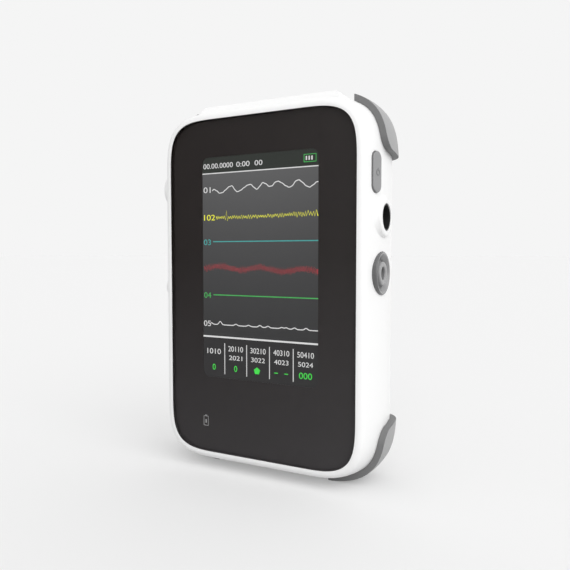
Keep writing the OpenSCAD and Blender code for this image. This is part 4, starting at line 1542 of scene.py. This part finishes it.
@dataclass
class ScreenMarks(DrawnMarks):
    """The drawn lines, values and icons that the screen shows."""

    left: float = -22.85
    right: float = 22.65
    columns: int = 5
    label_x: float = -20.9
    label_w: float = 3.0
    label_h: float = 2.0
    trace_start: float = -18.4
    divider: Pair = (-19.7, -30.8)
    caption_up: Pair = (-21.5, -24.7)
    caption_size: Pair = (6.1, 1.9)
    value_up: float = -28.5
    value_h: float = 2.1
    line_w: float = 0.36
    wave_w: float = 0.32
    thin_w: float = 0.3
    dash_w: float = 1.4
    bump_w: float = 0.75
    seed: int = 7

    @staticmethod
    def eased(turns: list[Pair], steps: int = 8) -> list[Pair]:
        """Joins the high and low points of a wave by soft half waves.

        Args:
            turns: The wave's high and low points.
            steps: Number of steps between two of them.

        Returns:
            The points of the wave.
        """
        points = [turns[0]]
        for (x0, up0), (x1, up1) in zip(turns, turns[1:]):
            for t in spaced(0, 1, steps)[1:]:
                points.append((x0 + (x1 - x0) * t, up0 + (up1 - up0) * (1 - math.cos(math.pi * t)) / 2))
        return points

    def breath_wave(self) -> list[Pair]:
        """Makes the breathing wave at the top of the field.

        Returns:
            The points of the wave.
        """
        turns = [
            (-18.7, 34.6), (-17.9, 34.9), (-15.2, 33.5), (-10.6, 35.8), (-8.3, 33.7), (-3.1, 35.9),
            (-0.4, 34.2), (2.1, 36.2), (4.9, 34.8), (7.5, 36.4), (12.3, 34.2), (15.2, 36.4),
            (19.4, 33.9), (self.right, 35.5),
        ]
        return [(x, up + 0.09 * math.sin(x * 4.1)) for x, up in self.eased(turns)]

    def slow_wave(self) -> list[Pair]:
        """Makes the shallow wave above the footer, with its low bumps.

        Returns:
            The points of the wave.
        """
        level = -13.12
        bumps = ((-19.4, 0.5), (-15.6, 1.15), (-9.0, 0.5), (-3.8, 0.42), (0.7, 0.6), (3.9, 0.5), (9.2, 0.4),
                 (10.9, 0.4), (14.0, 0.5), (18.3, 0.6))
        return [
            (x, level + sum(rise * math.exp(-(((x - place) / self.bump_w) ** 2)) for place, rise in bumps))
            for x in spaced(-19.7, self.right, 140)
        ]

    def restless(self, start: float, level: Callable[[float], float], height: Callable[[float], float],
                 gap: float, rng: random.Random) -> list[Pair]:
        """Points of a restless trace.

        Args:
            start: Where it begins.
            level: Its middle height at a place.
            height: Half height of the trace at a place.
            gap: Distance between two points.
            rng: Seeded source of the heights.

        Returns:
            The points.
        """
        points = []
        x, sign = start, 1
        while x < self.right:
            points.append((x, level(x) + sign * height(x) * rng.uniform(0.35, 1.0)))
            sign = -sign
            x += gap * rng.uniform(0.7, 1.3)
        return points

    def centre_of(self, column: int) -> float:
        """Middle of one of the columns of the footer."""
        return self.left + (self.right - self.left) * (column + 0.5) / self.columns

    def label(self, body: str, x: float, up: float) -> Piece:
        """Two digits at the left end of a trace."""
        return self.digits(body, x, up, self.label_w, self.label_h)

    def white_marks(self) -> None:
        """Builds the rules, both waves, the header's numbers and the captions."""
        left, right = self.left, self.right
        wide, high = self.caption_size
        marks = [
            self.stroke([(left, HEADER_UP), (right, HEADER_UP)], self.line_w),
            self.stroke([(left, FOOTER_UP), (right, FOOTER_UP)], 0.6),
            self.stroke(self.breath_wave(), self.wave_w),
            self.stroke(self.slow_wave(), self.wave_w),
            self.digits("00.00.0000", -16.2, 43.15, 12.4, 1.75),
            self.digits("0:00  00", -3.4, 43.1, 10.4, 1.75),
            self.label("01", self.label_x, 34.8),
            self.label("05", self.label_x - 0.2, -12.9),
            self.digits("1010", self.centre_of(0), -22.8, wide * 0.95, high),
        ]
        for i in range(1, self.columns):
            x = self.centre_of(i)
            marks.append(self.digits(f"{i + 1}0{i}10", x, self.caption_up[0], wide, high))
            marks.append(self.digits(f"{i + 1}02{i}", x, self.caption_up[1], wide * 0.9, high * 0.85))
            edge = x - (right - left) / (2 * self.columns)
            marks.append(self.stroke([(edge, up) for up in self.divider], self.thin_w))
        self.gather("screen_white_marks", marks, "white_stroke")

    def traces(self) -> None:
        """Builds the four coloured traces with their labels."""
        rng = random.Random(self.seed)
        sound = self.restless(
            self.trace_start + 1.4, lambda x: 24.9 + 0.012 * max(x, 0) ** 1.2,
            lambda x: 0.75 + 1.6 * math.exp(-(((x + 12.7) / 0.35) ** 2)) + 0.35 * (x > 12), 0.46, rng,
        )
        yellow = [self.stroke(sound, 0.34), self.digits("102", -19.9, 25.0, 4.7, self.label_h)]
        self.gather("screen_yellow_marks", yellow, "yellow_stroke")
        red = []
        for i in range(4):
            pulse = self.restless(
                self.left + 0.5, lambda x: 6.9 + 0.55 * math.sin(x * 0.38 + 1.2) - 0.02 * x,
                lambda x: 1.25 + 0.3 * math.sin(x * 0.9 + i), 0.30, rng,
            )
            red.append(self.stroke(pulse, 0.22))
        self.gather("screen_red_marks", red, "red_stroke")
        for colour, body, up in (("teal", "03", 16.45), ("green", "04", -2.5)):
            line = self.stroke([(self.trace_start, up), (self.right, up)], self.line_w)
            marks = [line, self.label(body, self.label_x, up - 0.2)]
            self.gather(f"screen_{colour}_marks", marks, f"{colour}_stroke")

    def values(self) -> None:
        """Builds the bright values of the footer."""
        up, high = self.value_up, self.value_h
        dash = self.centre_of(3)
        marks = [self.digits("0", self.centre_of(i), up, 1.25, high) for i in (0, 1)]
        marks.append(self.digits("000", self.centre_of(4), up, 4.8, high))
        for start in (dash - 2.7, dash + 1.2):
            marks.append(self.stroke([(start, up), (start + self.dash_w, up)], self.thin_w))
        marks.append(self.marker(self.centre_of(2) - 0.4, up, 1.3))
        self.gather("screen_values", marks, "bright_green")

    def charge_sign(self) -> None:
        """Builds the charge sign in the header: an outlined cell with bars."""
        x, up = 19.6, 43.3
        self.gather("screen_cell", [self.ring(x, up, (4.3, 2.4), self.thin_w)], "green_stroke")
        bars = [self.stroke([(x + s, up - 0.65), (x + s, up + 0.65)], 0.5) for s in (-1.3, -0.3, 0.7)]
        self.gather("screen_cell_bars", bars, "white_stroke")

    def build(self) -> None:
        """Builds all marks, one piece for each colour."""
        self.white_marks()
        self.traces()
        self.values()
        self.charge_sign()


@dataclass
class PowerButton(Assembly):
    """The grey pill in the right side, with its symbol."""

    length: float = 13.2
    width: float = 5.0
    proud: float = 0.7
    flange: float = 1.0
    flange_t: float = 1.0
    flange_gap: float = 0.1
    edge: float = 0.4
    sign_r: float = 0.95
    sign_w: float = 0.26
    sign_gap: int = 40
    sign_step: int = 14
    sign_up: float = -0.15
    sign_bar: Pair = (0.2, 1.25)
    sign_lift: float = 0.01
    # Faces less turned to the pill's top than this get painted shade
    shade_below: float = 0.55

    def build(self) -> None:
        """Builds the pill with its flange and symbol."""
        bench, form = self.bench, self.form
        depth = form.button_at[0]
        tilt = math.asin((form.barrel_depth - depth) / form.barrel_r)
        base = form.side(depth) - form.wall - self.flange_gap
        top = form.side(depth) + self.proud
        size, rim = ((self.length + grow, self.width + grow) for grow in (0, 2 * self.flange))
        pill = bench.bar("power_button_skin", form.button_at, size, (base - 0.3, top + 2))
        normal = Vector((math.cos(tilt), -math.sin(tilt), 0))
        crown = form.place(top, *form.button_at) * MM
        with bench.editing(pill):
            bpy.ops.mesh.bisect(plane_co=crown, plane_no=normal, use_fill=True, clear_outer=True)
            bench.pick(pill, lambda p: abs((p - crown).dot(normal)) < MERGE)
            bpy.ops.mesh.bevel(offset=self.edge * MM, segments=5, affect="EDGES")
        flange = bench.bar("flange", form.button_at, rim, (base - self.flange_t, base))
        bench.carve(pill, flange, how=Boolean.ADD)
        # Painted shade: the pill's sides and flange, turned away from its top, get the darker band tone
        bench.paint_shade(pill, lambda face: face.normal.dot(normal) < self.shade_below)
        bench.dress(pill, "button", "button_grey", Body.BUTTON, node="power_button")
        self.symbol(crown, normal)

    def symbol(self, crown: Vector, normal: Vector) -> None:
        """Builds the open ring and bar on the pill's top.

        Args:
            crown: Centre of the pill's top, in metres.
            normal: Direction out of the pill's top.
        """
        across = UP.cross(normal)
        swings = [math.radians(a) for a in range(self.sign_gap, 361 - self.sign_gap, self.sign_step)]
        ring = [(self.sign_r * math.sin(a), self.sign_r * math.cos(a) + self.sign_up) for a in swings]
        start = crown + normal * self.sign_lift * MM
        lines = [
            [start + (across * right + UP * up) * MM for right, up in points]
            for points in (ring, [(0.0, up) for up in self.sign_bar])
        ]
        piece = self.bench.weld(self.bench.wires("power_symbol", lines, self.sign_w, 1))
        self.bench.dress(self.bench.face_out(piece), "symbol", "button_grey", Body.BUTTON)


@dataclass
class AirflowPort(Assembly):
    """The dished grey fitting with its round hub."""

    rim: float = 41.246
    outer_r: float = 7.1
    stem_r: float = 4.9
    dish: float = 1.8
    hub_r: float = 3.9
    bore_r: float = 2.1
    bore_l: float = 7.0
    barb_r: float = 1.6
    barb_bore_r: float = 0.8
    barb_l: float = 5.0
    # Width of the outer rim that gets painted shade
    rim_w: float = 0.55
    hub_edge: float = 0.5
    hub_foot: float = 0.25
    edge: float = 0.4
    floor_end: float = 1.2
    slope_end: Pair = (0.75, 0.08)
    port_sharp: float = 38.0

    def build(self) -> None:
        """Turns the fitting from one profile with rounded edges."""
        form, bench, rim = self.form, self.bench, self.rim
        edge, top = self.edge, rim - self.hub_edge
        floor = rim - self.bore_l
        stem_end = floor - self.barb_bore_r
        barb_end = stem_end - self.barb_l
        dish = rim - self.dish
        foot = self.hub_r + self.hub_foot
        aside, down = self.slope_end
        profile = [(self.bore_r, floor), (self.bore_r, top)]
        profile += self.round_edge(self.bore_r + self.hub_edge, top, self.hub_edge, (-1, 1))
        profile += self.round_edge(self.hub_r - self.hub_edge, top, self.hub_edge, (1, 1))[::-1]
        profile += [(foot, dish + edge)]
        profile += self.round_edge(foot + edge, dish + edge, edge, (-1, -1))
        profile += [(self.hub_r + self.floor_end, dish), (self.outer_r - aside, rim - down)]
        profile += self.round_edge(self.outer_r - edge, rim - edge, edge, (1, 1))[::-1]
        profile += [
            (self.outer_r, form.port_seat), (self.stem_r, form.port_seat), (self.stem_r, stem_end),
            (self.barb_r, stem_end), (self.barb_r, barb_end), (self.barb_bore_r, barb_end),
            (self.barb_bore_r, floor), (self.bore_r, floor),
        ]
        centre = form.place(0, *form.port_at)
        piece = bench.turn("airflow_port_skin", profile, centre, RIGHT, 120)
        # Painted shade: the outer rim and its wall get the darker band tone
        reach = (self.outer_r - self.rim_w) * MM
        bench.paint_shade(piece, lambda face: (face.center - centre * MM).yz.length > reach)
        bench.dress(piece, "port", "port_grey", node="airflow_port", sharp=self.port_sharp)

    @staticmethod
    def round_edge(radius: float, along: float, size: float, out: tuple[int, int]) -> list[Pair]:
        """Points of a quarter round.

        Args:
            radius: Radius of the round's centre.
            along: Distance of the round's centre along the axis.
            size: Size of the round.
            out: Signs of its bulge away from the axis and outwards along it.

        Returns:
            Pairs of radius and distance, which end at the round's own far point along the axis.
        """
        return [
            (radius + out[0] * size * math.cos(swing), along + out[1] * size * math.sin(swing))
            for swing in quarter(4)
        ]


@dataclass
class CaseScrews(Assembly):
    """The four recessed screws of the rear cover, with a cross in each head."""

    head_r: float = 2.0
    head_t: float = 1.2
    sunk: float = 0.2
    thread_r: float = 1.0
    thread_l: float = 6.0
    cross_l: float = 2.3
    cross_w: float = 0.5
    cross_d: float = 0.7
    tip_edge: Pair = (0.2, 0.3)
    crown: tuple[Pair, ...] = ((0.0, 0.35), (0.12, 0.14), (0.4, 0.0))

    def build(self) -> None:
        """Turns one screw, cuts its cross, copies it and joins the four."""
        bench, form = self.bench, self.form
        wide, high = form.screw_pitch
        top = form.case_d - self.sunk
        base = top - self.head_t
        tip = base - self.thread_l
        corner = form.place(-wide / 2, 0, -high / 2)
        inwards, along = self.tip_edge
        profile = [(0, tip), (self.thread_r - inwards, tip), (self.thread_r, tip + along)]
        profile += [(self.thread_r, base), (self.head_r, base)]
        profile += [(self.head_r - aside, top - down) for aside, down in self.crown]
        profile += [(0, top)]
        first = bench.turn("case_screws_skin", profile, corner, REAR, 48)
        for length, width in ((self.cross_l, self.cross_w), (self.cross_w, self.cross_l)):
            half = Vector((length / 2, 0, width / 2))
            spot = corner + REAR * top
            bench.carve(first, bench.block("cross", spot - half - REAR * self.cross_d, spot + half + REAR))
        moves = [(wide, 0, 0), (0, 0, high), (wide, 0, high)]
        copies = [bench.twin(first, "screw", shift=move) for move in moves]
        bench.dress(bench.join([first, *copies]), "steel", "screw_steel", node="case_screws")


@dataclass
class PanelIcons(DrawnMarks):
    """The small printed charge sign at the lower left of the mask."""

    depth: float = 1.108
    thickness: float = 0.024
    at: Pair = (-21.9, -48.6)
    size: Pair = (1.9, 3.4)
    frame_w: float = 0.24
    cap: Pair = (0.9, 0.3)
    bar: Pair = (-0.8, 0.5)
    bar_w: float = 0.55

    def build(self) -> None:
        """Draws the sign as thin bands behind the lens."""
        x, up = self.at
        cap_l, cap_w = self.cap
        top = up + self.size[1] / 2 + cap_w
        parts = [
            self.ring(x, up, self.size, self.frame_w),
            self.stroke([(x + side * cap_l / 2, top) for side in (-1, 1)], cap_w),
            self.stroke([(x, up + end) for end in self.bar], self.bar_w),
        ]
        self.gather("panel_charge_icon", parts, "icon", "mask_black")


# Studio and camera
@dataclass(frozen=True)
class Studio:
    """Pale floor, soft lamps and the camera at the picture's angle."""

    backdrop: float = 0.913
    ambient: float = 0.75
    floor_seen: float = 0.842
    floor_bounce: float = 0.6
    floor_glow: float = 0.26
    floor_size: float = 60.0
    key_strength: float = 1.23
    key_from: Triple = (0.62, -0.62, 0.62)
    side_strength: float = 0.66
    side_from: Triple = (1.0, -0.1, 0.55)
    lamp_angle: float = 70.0
    camera_at: Triple = (0.10168, -0.18788, 0.07792)
    camera_looks: Triple = (-0.4594, 0.8867, -0.0516)
    lens: float = 37.38
    sensor: float = 36.0
    clip_start: float = 0.01

    @staticmethod
    def shown(graph: Graph) -> Wire:
        """Finds the rays that show the backdrop: to the camera, in gloss and through clear pieces.

        Args:
            graph: The node tree of the floor or of the world.

        Returns:
            One on such a ray, else zero.
        """
        rays = graph.node("ShaderNodeLightPath").outputs
        kinds = ("Camera", "Glossy", "Transmission")
        camera, gloss, clear = (Wire(graph, rays[f"Is {kind} Ray"]) for kind in kinds)
        return camera + gloss + clear

    def floor(self) -> None:
        """Builds the wide pale floor, which keeps the soft shadow."""
        bpy.ops.object.select_all(action="DESELECT")
        bpy.ops.mesh.primitive_plane_add(size=self.floor_size, location=(0, 0, 0))
        plane = bpy.context.active_object
        plane.name = "floor"
        graph = Graph("pale_floor")
        shown = self.shown(graph)
        tone = graph.blend(shown, (self.floor_bounce,) * 3, (self.floor_seen,) * 3)
        matte = graph.node("ShaderNodeBsdfDiffuse", {"Color": tone}).outputs[0]
        glow = graph.node("ShaderNodeEmission", {"Color": (*(self.backdrop,) * 3, 1.0)}).outputs[0]
        mixed = graph.node("ShaderNodeMixShader", {0: shown * self.floor_glow, 1: matte, 2: glow})
        plane.data.materials.append(graph.close(mixed))

    def world(self) -> None:
        """Lights the scene evenly, and shows the backdrop's tone to the camera and in gloss."""
        world = bpy.data.worlds.new("studio_world")
        bpy.context.scene.world = world
        graph = Graph("studio_world", world)
        tone = graph.blend(self.shown(graph), (self.ambient,) * 3, (self.backdrop,) * 3)
        graph.close(graph.node("ShaderNodeBackground", {"Color": tone}), "ShaderNodeOutputWorld")

    def lamp(self, name: str, source: Triple, strength: float) -> None:
        """Adds one wide soft sun.

        Args:
            name: Name of the lamp.
            source: Direction that it shines from.
            strength: Its strength.
        """
        data = bpy.data.lights.new(name, "SUN")
        data.energy = strength
        data.angle = math.radians(self.lamp_angle)
        placed(name, data).rotation_euler = Vector(source).to_track_quat("Z", "Y").to_euler()

    def camera(self) -> None:
        """Places the camera."""
        data = bpy.data.cameras.new("picture_camera")
        data.lens = self.lens
        data.sensor_width = self.sensor
        data.clip_start = self.clip_start
        camera = placed("picture_camera", data)
        camera.location = self.camera_at
        camera.rotation_euler = Vector(self.camera_looks).to_track_quat("-Z", "Y").to_euler()
        bpy.context.scene.camera = camera

    def build(self) -> None:
        """Sets up floor, light and camera."""
        self.floor()
        self.world()
        self.lamp("key", self.key_from, self.key_strength)
        self.lamp("side", self.side_from, self.side_strength)
        self.camera()
        bpy.context.scene.view_settings.view_transform = "Standard"


PARTS = (Housing, CornerGuards, FrontWindow, ScreenMarks, PowerButton, AirflowPort, CaseScrews, PanelIcons)


def dress_nodes(materials: dict[str, bpy.types.Material]) -> None:
    """Gives the CAD nodes that stay in place their finishes.

    Args:
        materials: The materials by their short names.
    """
    for finish, names in NODE_FINISHES.items():
        for name in names:
            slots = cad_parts[name].data.materials
            slots.clear()
            slots.append(materials[finish])
            log.info("%s keeps its solid, finish %s", name, finish)


def main() -> None:
    """Builds the scene."""
    logging.basicConfig(level=logging.INFO, format="%(name)s %(message)s")
    materials = {key: finish.build() for key, finish in FINISHES.items()}
    dress_nodes(materials)
    bench = Bench(materials, CaseForm())
    for part in PARTS:
        part(bench).build()
    Studio().build()


if __name__ == "__main__":
    main()
